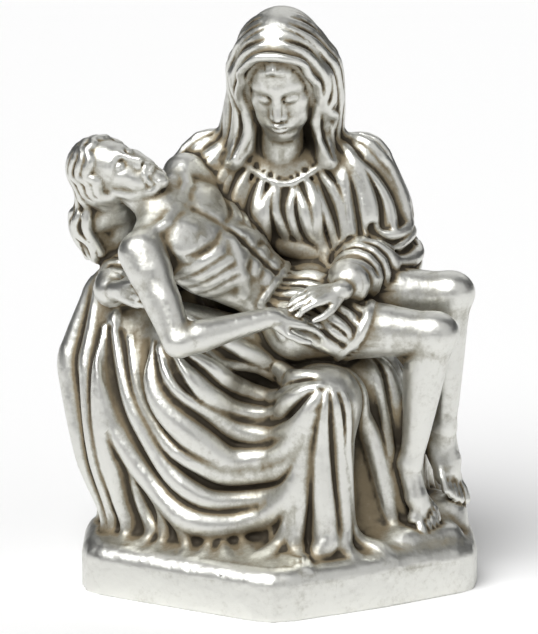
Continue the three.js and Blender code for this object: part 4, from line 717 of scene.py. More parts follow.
def hood():
    """The veil's hood, without the folds."""
    form = Form(WIDE)
    at = M_SKULL.at
    form.add(M_SKULL.egg(-0.15, 0, 0.11, 0.49, 0.4, 0.53))
    for s in (-1, 1):
        form.rod([at(0, 0.33 * s, 0.05), at(0, 0.35 * s, -0.25), add(M_NECK, [14 * s, -5, 6]),
                  add(M_NECK, [19 * s, -8, -6])], [5.5, 5.5, 5, 3.5], 5)
        form.rod([at(-0.2, 0.33 * s, 0.05), at(-0.22, 0.34 * s, -0.25), add(M_NECK, [17 * s, 4, 6]),
                  add(M_NECK, [25 * s, 5, -5])], [6, 6, 6, 4], 5)
    form.rod([at(-0.3, 0, -0.1), add(M_NECK, [0, 12, 2]), add(M_NECK, [0, 17, -18])], [15, 18, 19], 12)
    return form


def mantle():
    """The mantle with its folds: the hood, the cloak and the lap."""
    base = Form(WIDE).add(lap()).add(hood(), 10)
    form = Form().add(base)
    # From the crown down the back to the plinth
    pleats(form, base, [[-18, 16, 212, 0.3], [-24, 24, 190, 2.4], [-28, 28, 164, 3.6],
                        [-40, 36, 130, 4.6], [-50, 48, 84, 5.6], [-54, 44, 40, 6.4], [-58, 40, 0, 7]],
           [[16, 16, 212, 0.3], [22, 24, 190, 2.4], [26, 28, 164, 3.6], [38, 36, 130, 4.6],
            [46, 48, 84, 5.6], [52, 44, 40, 6.4], [56, 40, 0, 7]], 8, 3.2, 1)
    # Down both sides
    pleats(form, base, [[52, 26, 110, 1], [58, 26, 70, 5.5], [60, 24, 35, 6], [60, 22, 0, 6.5]],
           [[48, -4, 94, 1], [58, -4, 64, 5], [60, -6, 30, 5.5], [60, -8, 0, 6]], 3, 3.4, 1)
    pleats(form, base, [[-50, 36, 118, 1], [-70, 32, 70, 5.5], [-70, 28, 35, 6.5], [-64, 24, 0, 7]],
           [[-86, 2, 110, 1], [-92, 2, 72, 5.5], [-82, 0, 34, 6], [-69, -2, 0, 6.5]], 4, 3.4, 1)
    # Long folds that fall from her right arm down the left side
    pleats(form, base, [[-84, -2, 112, 1.5], [-90, -6, 78, 5], [-80, -12, 40, 5.5], [-67, -14, 0, 6]],
           [[-72, -24, 106, 1.5], [-74, -26, 74, 5], [-68, -26, 36, 5], [-60, -24, 0, 5.5]], 3, 3, 1)
    # The hem of the gown at the lower left
    pleats(form, base, [[-66, -20, 36, 1.2], [-64, -24, 18, 2.8], [-62, -28, 6, 2.8], [-72, -36, 1, 1.4]],
           [[-10, -48, 18, 0.6], [-10, -54, 10, 1.2], [-8, -58, 5, 1.6], [-4, -70, 1, 0.8]], 8, 3, 1)
    # Below her left knee
    pleats(form, base, [[9, -58, 70, 2.4], [3, -60, 42, 4], [-2, -56, 14, 4.4], [-8, -60, 5, 4.4],
                        [-12, -68, 2, 3]], [[22, -56, 70, 2.4], [27, -54, 44, 4.6], [30, -50, 16, 5],
                                            [35, -50, 5, 5], [40, -54, 1, 3.4]], 5, 2, 1)
    # Behind the son's shins
    pleats(form, base, [[28, -36, 80, 2], [34, -36, 52, 4], [40, -34, 22, 4.4], [46, -36, 4, 4]],
           [[52, -8, 92, 2], [57, -8, 58, 4], [60, -10, 28, 4.4], [66, -14, 4, 4]], 5, 2, 0.6)
    # Folds across her right thigh, under the son's hip
    pleats(form, base, [[-40, -36, 97, 0.8], [-22, -42, 90, 3], [-4, -44, 82, 3.4], [12, -52, 82, 1.2]],
           [[-46, -42, 84, 0.8], [-30, -46, 70, 3.4], [-12, -44, 61, 3.8], [8, -54, 70, 1.4]], 4, 2, 0.3)
    # Great swags that sweep from her right thigh to her left knee
    pleats(form, base, [[-44, -42, 84, 2], [-30, -46, 68, 4], [-12, -42, 58, 4.6], [4, -50, 64, 3.8],
                        [13, -58, 76, 1.6]], [[-76, -20, 92, 3], [-68, -30, 50, 6], [-38, -44, 14, 7],
                                              [-4, -58, 22, 5.4], [8, -60, 54, 2.4]], 6, 2.6, 0.4)
    # The hood's sides, its opening and its edge
    for s in (-1, 1):
        front = M_SKULL.pinned([[0.2, 0.1 * s, 0.6, 0.01], [0.16, 0.36 * s, 0.38, 0.045],
                                [0.1, 0.4 * s, 0.02, 0.055]])
        rear = M_SKULL.pinned([[-0.2, 0.16 * s, 0.64, 0.01], [-0.26, 0.38 * s, 0.36, 0.05],
                               [-0.3, 0.42 * s, 0, 0.06]])
        front += [[*add(M_NECK, [14 * s, -11, 9]), 2.2], [*add(M_NECK, [20 * s, -12, -5]), 1.6]]
        rear += [[*add(M_NECK, [24 * s, 8, 9]), 2.6], [*add(M_NECK, [30 * s, 8, -3]), 2]]
        pleats(form, base, front, rear, 5, 1.4, 0.5)
    form.cut(M_SKULL.egg(0.4, 0, -0.03, 0.38, 0.31, 0.44), 2)
    form.cut(M_SKULL.egg(0.22, 0, -0.6, 0.3, 0.27, 0.4), 2)
    left = [[0.06, 0.38, -0.5, 0.02], [0.11, 0.37, -0.25, 0.036], [0.19, 0.34, 0.08, 0.038],
            [0.25, 0.25, 0.34, 0.038]]
    right = [[f, -s, c, r] for f, s, c, r in left]
    rim = M_SKULL.pinned([*right, [0.28, 0, 0.46, 0.042], *reversed(left)])
    edge = []
    for i, p in enumerate(curve(rim, 48)):
        sway = [0.5 * math.sin(1.1 * i), 0.4 * math.cos(0.8 * i), 0.4 * math.sin(0.7 * i)]
        edge.append([*add(p, sway), p[3]])
    form.add(strand(edge), 1.2)
    return form


def cap(form):
    """The pleated cap that the mother wears under her veil."""
    edge = []
    for i in range(29):
        t = (i - 14) / 14
        fold = 0.011 * math.cos(2.2 * i)
        low = [0.29 - 0.25 * t * t + fold, 0.285 * t, 0.285 - 0.28 * t * t + fold, 0.02]
        high = [0.21 - 0.19 * t * t, 0.31 * t, 0.425 - 0.28 * t * t, 0.024]
        edge.append(low)
        if i % 2 == 0:
            form.add(strand(M_SKULL.pinned([low, high])), 0.8)
    form.add(strand(M_SKULL.pinned(edge)), 0.8)


def mother():
    """The mother with her clothes, her head, her hands and her foot."""
    form = Form()
    form.add(mantle())
    form.add(dress(), 2.5)
    skin = Form().add(head(M_SKULL))
    skin.add(Bone(add(M_HEAD, [0, 3, -6]), add(M_NECK, [0, 0, -4]), 8.2, 9.5), 4)
    cap(skin)
    form.add(skin, 0.8)
    palm = add(M_WRISTS[0], [4, -8, 1])
    form.add(Bone(M_WRISTS[0], palm, 5, 4), 1)
    form.add(hand(palm, [0.55, -0.8, 0.1], [0.8, 0.6, -0.1], 1, 30, [30, 32, 32, 30], 20), 0.8)
    form.add(Bone(mix(M_ELBOWS[1], M_WRISTS[1], 0.7), M_WRISTS[1], 5, 4), 1)
    form.add(hand(M_WRISTS[1], [-0.85, -0.35, -0.1], [-0.1, 0.5, -0.85], 1, 27, [22, 20, 20, 22], 10), 1)
    # The toes of her left foot, under the hem
    form.add(foot([3, -44, 10], [0.02, -1, -0.1], [0, -0.1, -1], -1, 34, 1), 0.6)
    return form


def son_hair(form):
    """The son's hair and beard."""
    at, pin = S_SKULL.at, S_SKULL.pinned
    skull = Form(WIDE)
    skull.add(S_SKULL.egg(-0.08, 0, 0.12, 0.4, 0.325, 0.4))
    form.add(S_SKULL.egg(-0.14, 0, 0.15, 0.37, 0.335, 0.39), 1.5)
    # The hair of each side, then the beard's edge, the moustache and the beard's point
    for s in (-1, 1):
        locks(form, skull, pin([[0.25, 0.03 * s, 0.4, 0.05], [0.14, 0.26 * s, 0.3, 0.055],
                                [-0.02, 0.34 * s, 0.08, 0.06], [-0.14, 0.33 * s, -0.25, 0.06]]),
              pin([[-0.1, 0.04 * s, 0.6, 0.05], [-0.35, 0.22 * s, 0.4, 0.06],
                   [-0.45, 0.2 * s, 0.05, 0.07], [-0.4, 0.18 * s, -0.3, 0.07]]), 5, 3, 1)
        form.add(S_SKULL.strand([[0.0, 0.27 * s, -0.1], [0.06, 0.235 * s, -0.28], [0.18, 0.14 * s, -0.44],
                                 [0.27, 0, -0.5]], [0.045, 0.055, 0.06, 0.06]), 1.2)
        form.add(S_SKULL.strand([[0.37, 0.012 * s, -0.238], [0.348, 0.07 * s, -0.262],
                                 [0.3, 0.12 * s, -0.34], [0.26, 0.12 * s, -0.4]],
                                [0.02, 0.022, 0.022, 0.02]), 0.6)
        form.add(S_SKULL.strand([[0.27, 0.04 * s, -0.4], [0.285, 0.045 * s, -0.47],
                                 [0.255, 0.03 * s, -0.53]], [0.055, 0.05, 0.035]), 0.6)
    # Locks that hang behind his shoulder
    behind = Form(WIDE)
    behind.rod([at(-0.32, 0, 0.05), at(-0.5, 0, -0.15), [-78, -8, 134], [-74, -4, 122]], [11, 9, 8, 7])
    behind.rod([at(-0.4, 0, -0.1), [-66, -6, 137], [-69, -4, 124]], [9, 8, 7], 3)
    form.add(behind, 3)
    locks(form, behind,
          [[-90, -26, 156, 1.6], [-86, -22, 146, 2.2], [-80, -18, 134, 2.2], [-74, -14, 120, 1.6]],
          [[-88, 6, 156, 1.6], [-90, 4, 144, 2.2], [-86, 4, 132, 2.2], [-80, 6, 120, 1.6]], 5, 3, 1)


def loincloth(form):
    """The cloth round the son's hips."""
    cloth = Form(WIDE)
    axes = frame([0, -0.35, 1], [0.94, -0.2, -0.02])
    cloth.add(Egg(add(S_PELVIS, [4, 0, 0]), [16.5, 20.5, 19], axes))
    bare = Form(WIDE).add(trunk(S_PELVIS, S_NECK, S_CHEST_FACES))
    for hip, knee in zip(S_HIPS, S_KNEES):
        cloth.rod([hip, mix(hip, knee, 0.24)], [15.6, 14.8], 6)
        bare.rod([hip, mix(hip, knee, 0.6)], [14, 11.6], 4)
    base = Form(WIDE).add(bare).add(cloth, 1)
    form.add(cloth, 1)
    pleats(form, base, [[-8, -38, 102, 0.4], [4, -44, 94, 1.8], [14, -46, 86, 2], [24, -44, 76, 0.8]],
           [[-3, -20, 112, 0.4], [10, -20, 114, 1.8], [22, -26, 108, 2], [34, -30, 102, 0.8]], 9, 1.4, 0.4)
    # Its rolled edges at the waist and on the thigh
    waist = curve([[-4, -43, 90, 0.9, 0], [-9, -38, 101, 1.3, 0], [-7, -28, 109, 1.3, 0],
                   [-1, -14, 115, 1.1, 0]], 18)
    thigh = curve([[20, -42, 75, 1, 0], [25, -45, 84, 1.6, 0], [32, -40, 97, 1.8, 0],
                   [35, -27, 105, 1.4, 0]], 18)
    form.lay(base, [waist, thigh], 1.6)


def son():
    """The son with his loincloth."""
    form = Form()
    axes = frame(S_CHEST_FACES, sub(S_NECK, S_PELVIS))
    near = place(S_NECK, axes, [-1, -25, -3])
    far = place(S_NECK, axes, [-1, 25, -3])
    form.add(trunk(S_PELVIS, S_NECK, S_CHEST_FACES))
    for hip, knee, ankle in zip(S_HIPS, S_KNEES, S_ANKLES):
        form.add(leg(hip, knee, ankle, [0.1, -0.3, 0.9]), 4)
    loincloth(form)
    form.add(Bone(S_NECK, S_HEAD, 8.3, 7.6), 4)
    form.add(head(S_SKULL), 2)
    son_hair(form)
    form.add(arm(near, S_ELBOW_NEAR, S_WRIST_NEAR, [0.4, -0.6, 0.5]), 2.5)
    form.add(arm(far, S_ELBOW_FAR, S_WRIST_FAR, [0.4, -0.6, 0.5]), 2.5)
    form.add(hand(S_WRIST_NEAR, [0.9, 0.2, -0.1], [-0.1, 0.5, -0.8], -1, 27, [18, 18, 20, 22], 8), 1.2)
    form.add(foot(S_ANKLES[0], [0.42, -0.38, -0.82], [-0.35, 0.72, -0.6], 1, 42, 1), 2.4)
    form.add(foot(S_ANKLES[1], [0.42, -0.3, -0.86], [-0.6, 0.4, -0.65], -1, 42, 0), 2.4)
    return form


def rock():
    """The rock that the folds and the son's feet rest on."""
    form = Form()
    level = frame([0, -1, 0], [0, 0, 1])
    form.add(Egg([0, -6, -6], [58, 78, 14], level))
    form.add(Slab([52, -26, 0], [17, 18, 9], 8, frame([0.5, -0.8, 0.1], [0.1, -0.15, 1])), 5)
    form.add(Slab([61, -8, 3], [17, 13, 11], 9, frame([0.3, -0.9, -0.1], [-0.15, 0.1, 1])), 4)
    form.add(Slab([40, -38, -1], [10, 14, 6], 5, frame([0.7, -0.7, 0], [-0.1, -0.2, 1])), 4)
    form.add(Slab([-56, -4, -1], [18, 14, 6], 5.5, frame([-0.5, -0.8, 0], [-0.1, 0.1, 1])), 5)
    return form


def build():
    """All that stands on the plinth."""
    return Form().add(rock()).add(mother(), 2).add(son(), 0.6)


class Plinth(Shape):
    """A low block with a rounded prow and upper edge. scale is the mm in a carved unit, each way."""

    def __init__(self, scale):
        half = PLINTH_WIDTH / 2 - PLINTH_ROUND
        front = PLINTH_FRONT - PLINTH_ROUND
        back = PLINTH_BACK - PLINTH_ROUND
        right = [[0.5 * half, -0.52 * front - 0.5 * PLINTH_CORNER], [half, -PLINTH_CORNER],
                 [half, 0.2 * back], [0.86 * half, 0.85 * back], [0.62 * half, back]]
        left = [[-x, y] for x, y in reversed(right)]
        corners = np.array([[PLINTH_POINT, -front], *right, *left])
        outline = []
        others = zip(np.roll(corners, 1, axis=0), np.roll(corners, -1, axis=0))
        for here, ends in zip(corners, others):
            a, b = (here + (end - here) * PLINTH_ROUND / np.linalg.norm(end - here) for end in ends)
            outline += [a, (a + 2 * here + b) / 4, b]
        self.outline = (np.array(outline) - [FIGURE_SHIFT, 0]) / scale[:2]
        self.edge = PLINTH_ROUND / scale[2]
        self.dome = PLINTH_DOME / scale[2]
        self.slope = PLINTH_SLOPE / scale[2]
        self.depth = PLINTH_HEIGHT / scale[2]
        self.low = np.array([-PLINTH_WIDTH / 2 - FIGURE_SHIFT, -PLINTH_FRONT, -PLINTH_HEIGHT]) / scale
        self.high = np.array([PLINTH_WIDTH / 2 - FIGURE_SHIFT, PLINTH_BACK, 0]) / scale

    def distance(self, x, y, z):
        side = None
        for a, b in zip(self.outline, np.roll(self.outline, -1, axis=0)):
            run = (b - a) / np.linalg.norm(b - a)
            plane = (x - a[0]) * run[1] - (y - a[1]) * run[0]
            side = plane if side is None else np.maximum(side, plane)
        inward = np.clip(-side / self.slope, 0, 1)
        rise = z + self.edge - self.dome * inward * (2 - inward)
        outside = np.sqrt(np.maximum(side, 0) ** 2 + np.maximum(rise, 0) ** 2)
        return np.maximum(outside + np.minimum(np.maximum(side, rise), 0) - self.edge, -self.depth - z)


def surface(field, axes):
    """Vertices and quads of the field's zero surface, one vertex in each cell that it crosses."""
    inside = field < 0
    corners = [(i, j, k) for i in (0, 1) for j in (0, 1) for k in (0, 1)]
    n = [s - 1 for s in field.shape]
    total = np.zeros(n, np.uint8)
    for i, j, k in corners:
        total += inside[i:n[0] + i, j:n[1] + j, k:n[2] + k]
    cells = np.argwhere((total > 0) & (total < 8))
    number = np.full(n, -1, np.int32)
    number[tuple(cells.T)] = np.arange(len(cells))
    value = {c: field[tuple((cells + c).T)].astype(float) for c in corners}
    spot = np.zeros((len(cells), 3))
    count = np.zeros(len(cells))
    for a in corners:
        for axis in range(3):
            if a[axis]:
                continue
            b = tuple(v + (i == axis) for i, v in enumerate(a))
            crossed = (value[a] < 0) != (value[b] < 0)
            t = value[a][crossed] / (value[a][crossed] - value[b][crossed])
            spot[crossed] += a
            spot[crossed, axis] += t
            count[crossed] += 1
    spot = (cells + spot / count[:, None]) * CELL + [a[0] for a in axes]
    quads = []
    for axis in range(3):
        u, v = (axis + 1) % 3, (axis + 2) % 3
        first = [slice(1, -1)] * 3
        second = [slice(1, -1)] * 3
        first[axis] = slice(0, -1)
        second[axis] = slice(1, None)
        change = inside[tuple(first)] != inside[tuple(second)]
        edges = np.argwhere(change) + np.array([0 if i == axis else 1 for i in range(3)])
        solid = inside[tuple(edges.T)]
        around = []
        for du, dv in ((-1, -1), (0, -1), (0, 0), (-1, 0)):
            cell = edges.copy()
            cell[:, u] += du
            cell[:, v] += dv
            around.append(number[tuple(cell.T)])
        around = np.stack(around, axis=1)
        around[~solid] = around[~solid][:, ::-1]
        quads.append(around)
    return spot, np.concatenate(quads)


def biggest(vertices, faces):
    """The biggest connected part of a mesh."""
    label = np.arange(len(vertices))
    while True:
        low = label[faces].min(axis=1)
        new = label.copy()
        for corner in faces.T:
            np.minimum.at(new, corner, low)
        new = new[new]
        if (new == label).all():
            break
        label = new
    names, sizes = np.unique(label, return_counts=True)
    keep = label == names[sizes.argmax()]
    number = np.cumsum(keep) - 1
    return vertices[keep], number[faces[keep[faces[:, 0]]]]


def sample(field, axes, p):
    """The field between its grid points."""
    q = (p - [a[0] for a in axes]) / CELL
    q = np.clip(q, 0, np.array(field.shape) - 1.001)
    base = q.astype(int)
    t = q - base
    value = 0
    for i in (0, 1):
        for j in (0, 1):
            for k in (0, 1):
                weight = ((t[:, 0] if i else 1 - t[:, 0]) * (t[:, 1] if j else 1 - t[:, 1])
                          * (t[:, 2] if k else 1 - t[:, 2]))
                value = value + weight * field[base[:, 0] + i, base[:, 1] + j, base[:, 2] + k]
    return value


def refine(vertices, faces, places, limit):
    """Splits the edges longer than limit near the places (a centre and a radius each)."""
    edges = np.sort(faces[:, [0, 1, 1, 2, 2, 0]].reshape(-1, 2), axis=1)
    names, back = np.unique(edges[:, 0] * len(vertices) + edges[:, 1], return_inverse=True)
    pairs = np.stack([names // len(vertices), names % len(vertices)], axis=1)
    middle = vertices[pairs].mean(axis=1)
    long = np.linalg.norm(vertices[pairs[:, 0]] - vertices[pairs[:, 1]], axis=1) > limit
    near = np.zeros(len(pairs), bool)
    for centre, radius in places:
        near |= np.linalg.norm(middle - centre, axis=1) < radius
    split = long & near
    number = np.where(split, len(vertices) + np.cumsum(split) - 1, -1)
    m = number[back].reshape(-1, 3)
    count = (m >= 0).sum(axis=1)
    out = [faces[count == 0]]
    for turn in range(3):
        f, e = np.roll(faces, -turn, axis=1), np.roll(m, -turn, axis=1)
        one = (count == 1) & (e[:, 0] >= 0)
        a, b, c = f[one].T
        out += [np.stack([a, e[one, 0], c], 1), np.stack([e[one, 0], b, c], 1)]
        two = (count == 2) & (e[:, 2] < 0)
        a, b, c = f[two].T
        p, q = e[two, 0], e[two, 1]
        out += [np.stack([p, b, q], 1), np.stack([a, p, q], 1), np.stack([a, q, c], 1)]
    three = count == 3
    a, b, c = faces[three].T
    p, q, r = m[three].T
    out += [np.stack(t, 1) for t in ((a, p, r), (p, b, q), (r, q, c), (p, q, r))]
    return np.concatenate([vertices, middle[split]]), np.concatenate(out)


def blurred(solid, reach):
    """How full the space is round each grid point, with two box blurs of that reach in cells."""
    wide = 2 * reach + 1
    for axis in (0, 1, 2) * 2:
        pad = [(0, 0)] * 3
        pad[axis] = (reach + 1, reach)
        run = np.cumsum(np.pad(solid, pad, mode="edge"), axis=axis, dtype=np.float32)
        after = np.take(run, range(wide, run.shape[axis]), axis=axis)
        before = np.take(run, range(run.shape[axis] - wide), axis=axis)
        solid = (after - before) / wide
    return solid


def mesh_object(name, vertices, faces):
    mesh = bpy.data.meshes.new(name)
    mesh.vertices.add(len(vertices))
    mesh.vertices.foreach_set("co", vertices.astype(np.float32).ravel())
    mesh.loops.add(faces.size)
    mesh.loops.foreach_set("vertex_index", faces.astype(np.int32).ravel())
    mesh.polygons.add(len(faces))
    mesh.polygons.foreach_set("loop_start", np.arange(0, faces.size, faces.shape[1], dtype=np.int32))
    mesh.update(calc_edges=True)
    mesh.validate()
    made = bpy.data.objects.new(name, mesh)
    bpy.context.collection.objects.link(made)
    return made


def decimated(vertices, faces, places, goal):
    """A lighter mesh of triangles: near the places it stays as fine as it was."""
    made = mesh_object("raw", vertices, faces)
    free = np.ones(len(vertices), bool)
    for centre, radius in places:
        free &= np.linalg.norm(vertices - centre, axis=1) > radius
    group = made.vertex_groups.new(name="free")
    group.add(np.nonzero(free)[0].tolist(), 1.0, "REPLACE")
    triangles = made.modifiers.new("triangles", "TRIANGULATE")
    triangles.quad_method = "SHORTEST_DIAGONAL"
    lighter = made.modifiers.new("lighter", "DECIMATE")
    lighter.ratio = goal / (2 * len(faces))
    lighter.vertex_group = "free"
    result = made.evaluated_get(bpy.context.evaluated_depsgraph_get()).to_mesh()
    points = np.empty(len(result.vertices) * 3, np.float32)
    result.vertices.foreach_get("co", points)
    corners = np.empty(len(result.polygons) * 3, np.int32)
    result.polygons.foreach_get("vertices", corners)
    bpy.data.objects.remove(made)
    return points.reshape(-1, 3).astype(float), corners.reshape(-1, 3).astype(int)


def grid_axes(low, high):
    return [np.arange(a - 3 * CELL, b + 3 * CELL, CELL, dtype=np.float32) for a, b in zip(low, high)]


def top_of(form, reach=20):
    """How high a form's surface goes, from a grid of its uppermost part."""
    axes = grid_axes([*form.low[:2], form.high[2] - reach], form.high)
    rows = form.grid(axes).min(axis=(0, 1))
    last = np.nonzero(rows < 0)[0].max()
    return axes[2][last] + CELL * rows[last] / (rows[last] - rows[last + 1])


def casting():
    """The whole casting as a form, and the mm in one carved unit, each way."""
    whole = build()
    scale = (TOTAL_HEIGHT - PLINTH_HEIGHT) / top_of(whole) * np.array([BREADTH, 1, 1])
    # The figures end a little below the plinth's top
    reach = np.abs([whole.low, whole.high]).max()
    whole.cut(Slab([0, 0, -FIGURE_SINK / scale[2] - reach], [reach, reach, reach], 0, np.eye(3)))
    plinth = Plinth(scale)
    whole.add(plinth, PLINTH_SEAM)
    whole.low[2] = plinth.low[2]
    return whole, scale


# The camera stands in front, a little to the left, and looks down on the statue
CAMERA_AZIMUTH = -1
CAMERA_ELEVATION = 12
CAMERA_DISTANCE = 1.2
CAMERA_LENS = 155.7
CAMERA_TARGET = (-0.0046, -0.015, 0.1185)

# The metal's colours, from what is rubbed bright to the bottom of the hollows, which are darkened with
# patina and painted shade
BRIGHT_SILVER = (0.75, 0.75, 0.71)
DULL_SILVER = (0.46, 0.45, 0.395)
BROWN_PATINA_AND_SHADE = (0.235, 0.19, 0.12)
DARK_PATINA_AND_SHADE = (0.05, 0.04, 0.026)
# How full the space round a place is where the tarnish and painted shade begin and where they are full, for
# each reach, and the most that the wide reach gives
NARROW_TARNISH_AND_SHADE = (0.46, 0.56)
MIDDLE_TARNISH_AND_SHADE = (0.43, 0.60)
WIDE_TARNISH_AND_SHADE = (0.40, 0.70)
WIDE_MOST = 0.85
# The same for the darkest patina and painted shade, at the bottoms of the hollows
NARROW_DARK = (0.505, 0.60)
MIDDLE_DARK = (0.54, 0.72)
# How uneven the patina is, by its clouds and by its specks
SMUDGE = 0.26
FLECKS = 0.34
# Scales of the noises, in repeats a metre
CLOUDS = 45
DENTS = 130
SPECKS = 420
GRAIN = 1400
# Roughness of the bright and of the dull metal, and what the specks add
BRIGHT_ROUGHNESS = 0.31
DULL_ROUGHNESS = 0.58
SPECK_ROUGHNESS = 0.14


class Nodes:
    """The nodes of a material or a surround, with the few kinds that the looks use."""

    def __init__(self, tree):
        self.tree = tree
        self.link = tree.links.new

    def make(self, kind, numbers=None):
        """A node of that kind, with numbers set on its sockets."""
        node = self.tree.nodes.new("ShaderNode" + kind)
        for socket, number in (numbers or {}).items():
            node.inputs[socket].default_value = number
        return node

    def ramp(self, source, low, high, first=0.0, last=1.0):
        """source taken from low..high to first..last, smoothly."""
        node = self.make("MapRange", {"From Min": low, "From Max": high, "To Min": first, "To Max": last})
        node.interpolation_type = "SMOOTHSTEP"
        self.link(source, node.inputs["Value"])
        return node.outputs["Result"]

    def combine(self, kind, a, b):
        """Two values, or a value and a number, put together by that kind of sum."""
        node = self.make("Math")
        node.operation = kind
        self.link(a, node.inputs[0])
        if isinstance(b, float):
            node.inputs[1].default_value = b
        else:
            self.link(b, node.inputs[1])
        return node.outputs[0]

    def noise(self, place, scale, detail=3.0, roughness=0.55):
        node = self.make("TexNoise", {"Scale": scale, "Detail": detail, "Roughness": roughness})
        self.link(place, node.inputs["Vector"])
        return node.outputs["Fac"]

    def uneven(self, pattern, amount):
        """A pattern that goes as much below nothing as above it."""
        return self.combine("MULTIPLY", self.combine("SUBTRACT", pattern, 0.5), amount)

    def mixed(self, factor, first, last):
        """A colour between two colours, or between a made colour and a colour."""
        node = self.make("Mix")
        node.data_type = "RGBA"
        self.link(factor, node.inputs["Factor"])
        for socket, value in ((node.inputs[6], first), (node.inputs[7], last)):
            if isinstance(value, tuple):
                socket.default_value = (*value, 1)
            else:
                self.link(value, socket)
        return node.outputs[2]

    def bump(self, strength, distance, height):
        node = self.make("Bump", {"Strength": strength, "Distance": distance})
        self.link(height, node.inputs["Height"])
        return node


def antique_silver():
    """Satin silver, rubbed bright on what stands out, with brown patina and painted shade in the hollows.
    """
    material = bpy.data.materials.new("antique_silver")
    material.use_nodes = True
    nodes = Nodes(material.node_tree)
    shader = material.node_tree.nodes["Principled BSDF"]
    place = nodes.make("TexCoord").outputs["Object"]
    stored = nodes.make("Attribute")
    stored.attribute_name = "hollow"
    split = nodes.make("SeparateColor")
    nodes.link(stored.outputs["Color"], split.inputs["Color"])
    narrow, middle, wide = split.outputs

    clouds = nodes.noise(place, CLOUDS)
    specks = nodes.noise(place, SPECKS, 5.0, 0.65)
    grain = nodes.noise(place, GRAIN)
    # How hollow it is, made uneven, as the patina was brushed on and wiped off by hand; the hollows are
    # darkened with patina and painted shade
    patchy = nodes.combine("ADD", nodes.uneven(clouds, SMUDGE), nodes.uneven(specks, FLECKS))
    tarnish_and_shade = nodes.combine("MAXIMUM", nodes.ramp(narrow, *NARROW_TARNISH_AND_SHADE),
                            nodes.ramp(middle, *MIDDLE_TARNISH_AND_SHADE))
    tarnish_and_shade = nodes.combine("MAXIMUM", tarnish_and_shade, nodes.ramp(wide, *WIDE_TARNISH_AND_SHADE, 0.0, WIDE_MOST))
    tarnish_and_shade = nodes.combine("ADD", tarnish_and_shade, nodes.combine("MULTIPLY", patchy, 2.0))
    tarnish_and_shade.node.use_clamp = True
    dark = nodes.combine("MAXIMUM", nodes.ramp(narrow, *NARROW_DARK), nodes.ramp(middle, *MIDDLE_DARK))
    dark = nodes.combine("ADD", dark, patchy)
    dark.node.use_clamp = True

    # The silver goes dull, then brown, then near black as the hollows deepen: patina and painted shade
    colour = nodes.mixed(nodes.ramp(tarnish_and_shade, 0.0, 0.45), BRIGHT_SILVER, DULL_SILVER)
    colour = nodes.mixed(nodes.ramp(tarnish_and_shade, 0.3, 0.95), colour, BROWN_PATINA_AND_SHADE)
    colour = nodes.mixed(nodes.ramp(dark, 0.1, 0.9), colour, DARK_PATINA_AND_SHADE)
    nodes.link(colour, shader.inputs["Base Color"])
    nodes.link(nodes.ramp(tarnish_and_shade, 0.2, 1.0, 1.0, 0.55), shader.inputs["Metallic"])
    rough = nodes.combine("MULTIPLY_ADD", specks, SPECK_ROUGHNESS)
    nodes.link(nodes.ramp(tarnish_and_shade, 0.0, 1.0, BRIGHT_ROUGHNESS, DULL_ROUGHNESS), rough.node.inputs[2])
    nodes.link(rough, shader.inputs["Roughness"])
    # A hand-worked surface: low dents, with specks and grain on them
    dents = nodes.bump(0.5, 0.0012, nodes.noise(place, DENTS, 2.0, 0.5))
    relief = nodes.bump(0.14, 0.0004, nodes.combine("ADD", specks, grain))
    nodes.link(dents.outputs["Normal"], relief.inputs["Normal"])
    nodes.link(relief.outputs["Normal"], shader.inputs["Normal"])
    return material


def toward(azimuth, elevation):
    """The unit way to that side and up, in degrees, 0 in front and 90 at the right."""
    a, e = math.radians(azimuth), math.radians(elevation)
    return Vector((math.sin(a) * math.cos(e), -math.cos(a) * math.cos(e), math.sin(e)))


def sun(name, azimuth, elevation, strength, angle):
    """A broad soft light from that way."""
    data = bpy.data.lights.new(name, "SUN")
    data.energy = strength
    data.angle = math.radians(angle)
    light = bpy.data.objects.new(name, data)
    light.rotation_euler = toward(azimuth, elevation).to_track_quat("Z", "Y").to_euler()
    bpy.context.collection.objects.link(light)


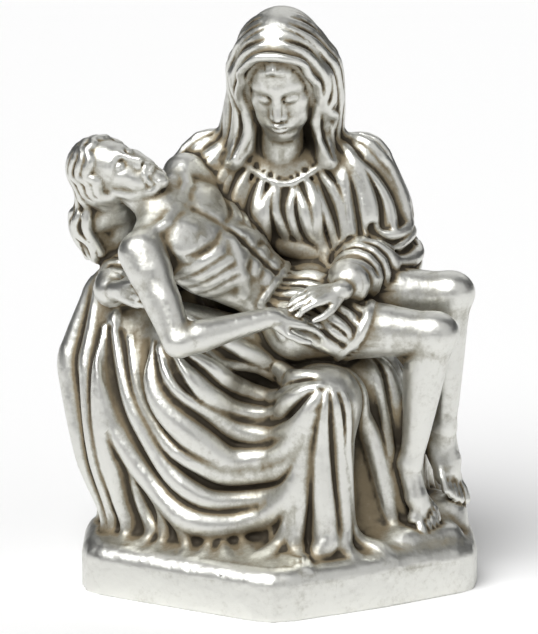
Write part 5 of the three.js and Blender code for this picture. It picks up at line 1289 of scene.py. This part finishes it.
def studio():
    """A white floor, a surround that is brighter above, and three broad lights."""
    world = bpy.data.worlds.new("surround")
    world.use_nodes = True
    nodes = Nodes(world.node_tree)
    split = nodes.make("SeparateXYZ")
    nodes.link(nodes.make("TexCoord").outputs["Generated"], split.inputs[0])
    nodes.link(nodes.ramp(split.outputs["Z"], 0.0, 0.8, 0.34, 0.84),
               world.node_tree.nodes["Background"].inputs["Strength"])
    bpy.context.scene.world = world
    bpy.ops.mesh.primitive_circle_add(vertices=96, radius=30, fill_type="NGON", location=(0, 0, 0))
    floor = bpy.context.object
    floor.name = "floor"
    material = bpy.data.materials.new("floor")
    material.use_nodes = True
    shader = material.node_tree.nodes["Principled BSDF"]
    shader.inputs["Base Color"].default_value = (0.97, 0.97, 0.97, 1)
    shader.inputs["Roughness"].default_value = 0.8
    floor.data.materials.append(material)
    sun("key", -35, 50, 3.3, 48)
    sun("fill", 45, 30, 0.5, 60)
    sun("back", 165, 45, 0.6, 60)
    bpy.context.scene.view_settings.view_transform = "Standard"
    bpy.context.scene.cycles.use_denoising = True


def camera():
    data = bpy.data.cameras.new("camera")
    data.lens = CAMERA_LENS
    made = bpy.data.objects.new("camera", data)
    bpy.context.collection.objects.link(made)
    back = toward(CAMERA_AZIMUTH, CAMERA_ELEVATION)
    made.location = Vector(CAMERA_TARGET) + back * CAMERA_DISTANCE
    made.rotation_euler = (-back).to_track_quat("-Z", "Y").to_euler()
    bpy.context.scene.camera = made


# The faces, whose mesh is finer: the middle and the radius of each
FINE = [(M_HEAD, 24), (S_HEAD, 22)]
FINE_EDGE = 0.7
# How much of what goes beyond EVEN is taken off the faces' hollows, one share for each reach, so the faces
# get less patina and painted shade
FACE_EASING = [0.4, 0.6, 0.6]
EVEN = 0.46


def carve():
    """The casting's vertices in mm, its triangles, and how hollow it is round each vertex."""
    whole, scale = casting()
    axes = grid_axes(whole.low, whole.high)
    field = whole.grid(axes)
    points, faces = biggest(*surface(field, axes))
    points, faces = decimated(points, faces, FINE, FREE_TRIANGLES)
    points, faces = refine(points, faces, FINE, FINE_EDGE)
    # How full the space round each vertex is, at three reaches: the fuller, the more patina and painted
    # shade its colour gets
    solid = np.clip(0.5 - field / CELL, 0, 1)
    hollow = [sample(blurred(solid, reach), axes, points) for reach in HOLLOW_REACHES]
    hollow = np.stack(hollow, axis=1)
    # The faces' hollows count for less, so their patina and painted shade are lighter than the cloth's
    for centre, radius in FINE:
        near = np.clip(3 - 3 * np.linalg.norm(points - centre, axis=1) / radius, 0, 1)[:, None]
        hollow -= near * FACE_EASING * np.maximum(hollow - EVEN, 0)
    return points * scale + [FIGURE_SHIFT, 0, PLINTH_HEIGHT], faces, hollow


def statue():
    points, faces, hollow = carve()
    piece = mesh_object("pieta", points / 1000, faces)
    # How hollow each vertex is, which the silver's patina and painted shade follow
    colours = piece.data.attributes.new("hollow", "FLOAT_COLOR", "POINT")
    rows = np.concatenate([hollow, np.ones((len(points), 1))], axis=1)
    colours.data.foreach_set("color", rows.astype(np.float32).ravel())
    piece.data.polygons.foreach_set("use_smooth", np.ones(len(faces), bool))
    piece.data.materials.append(antique_silver())
    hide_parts("pieta_statue")
    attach(piece, "root")


statue()
studio()
camera()
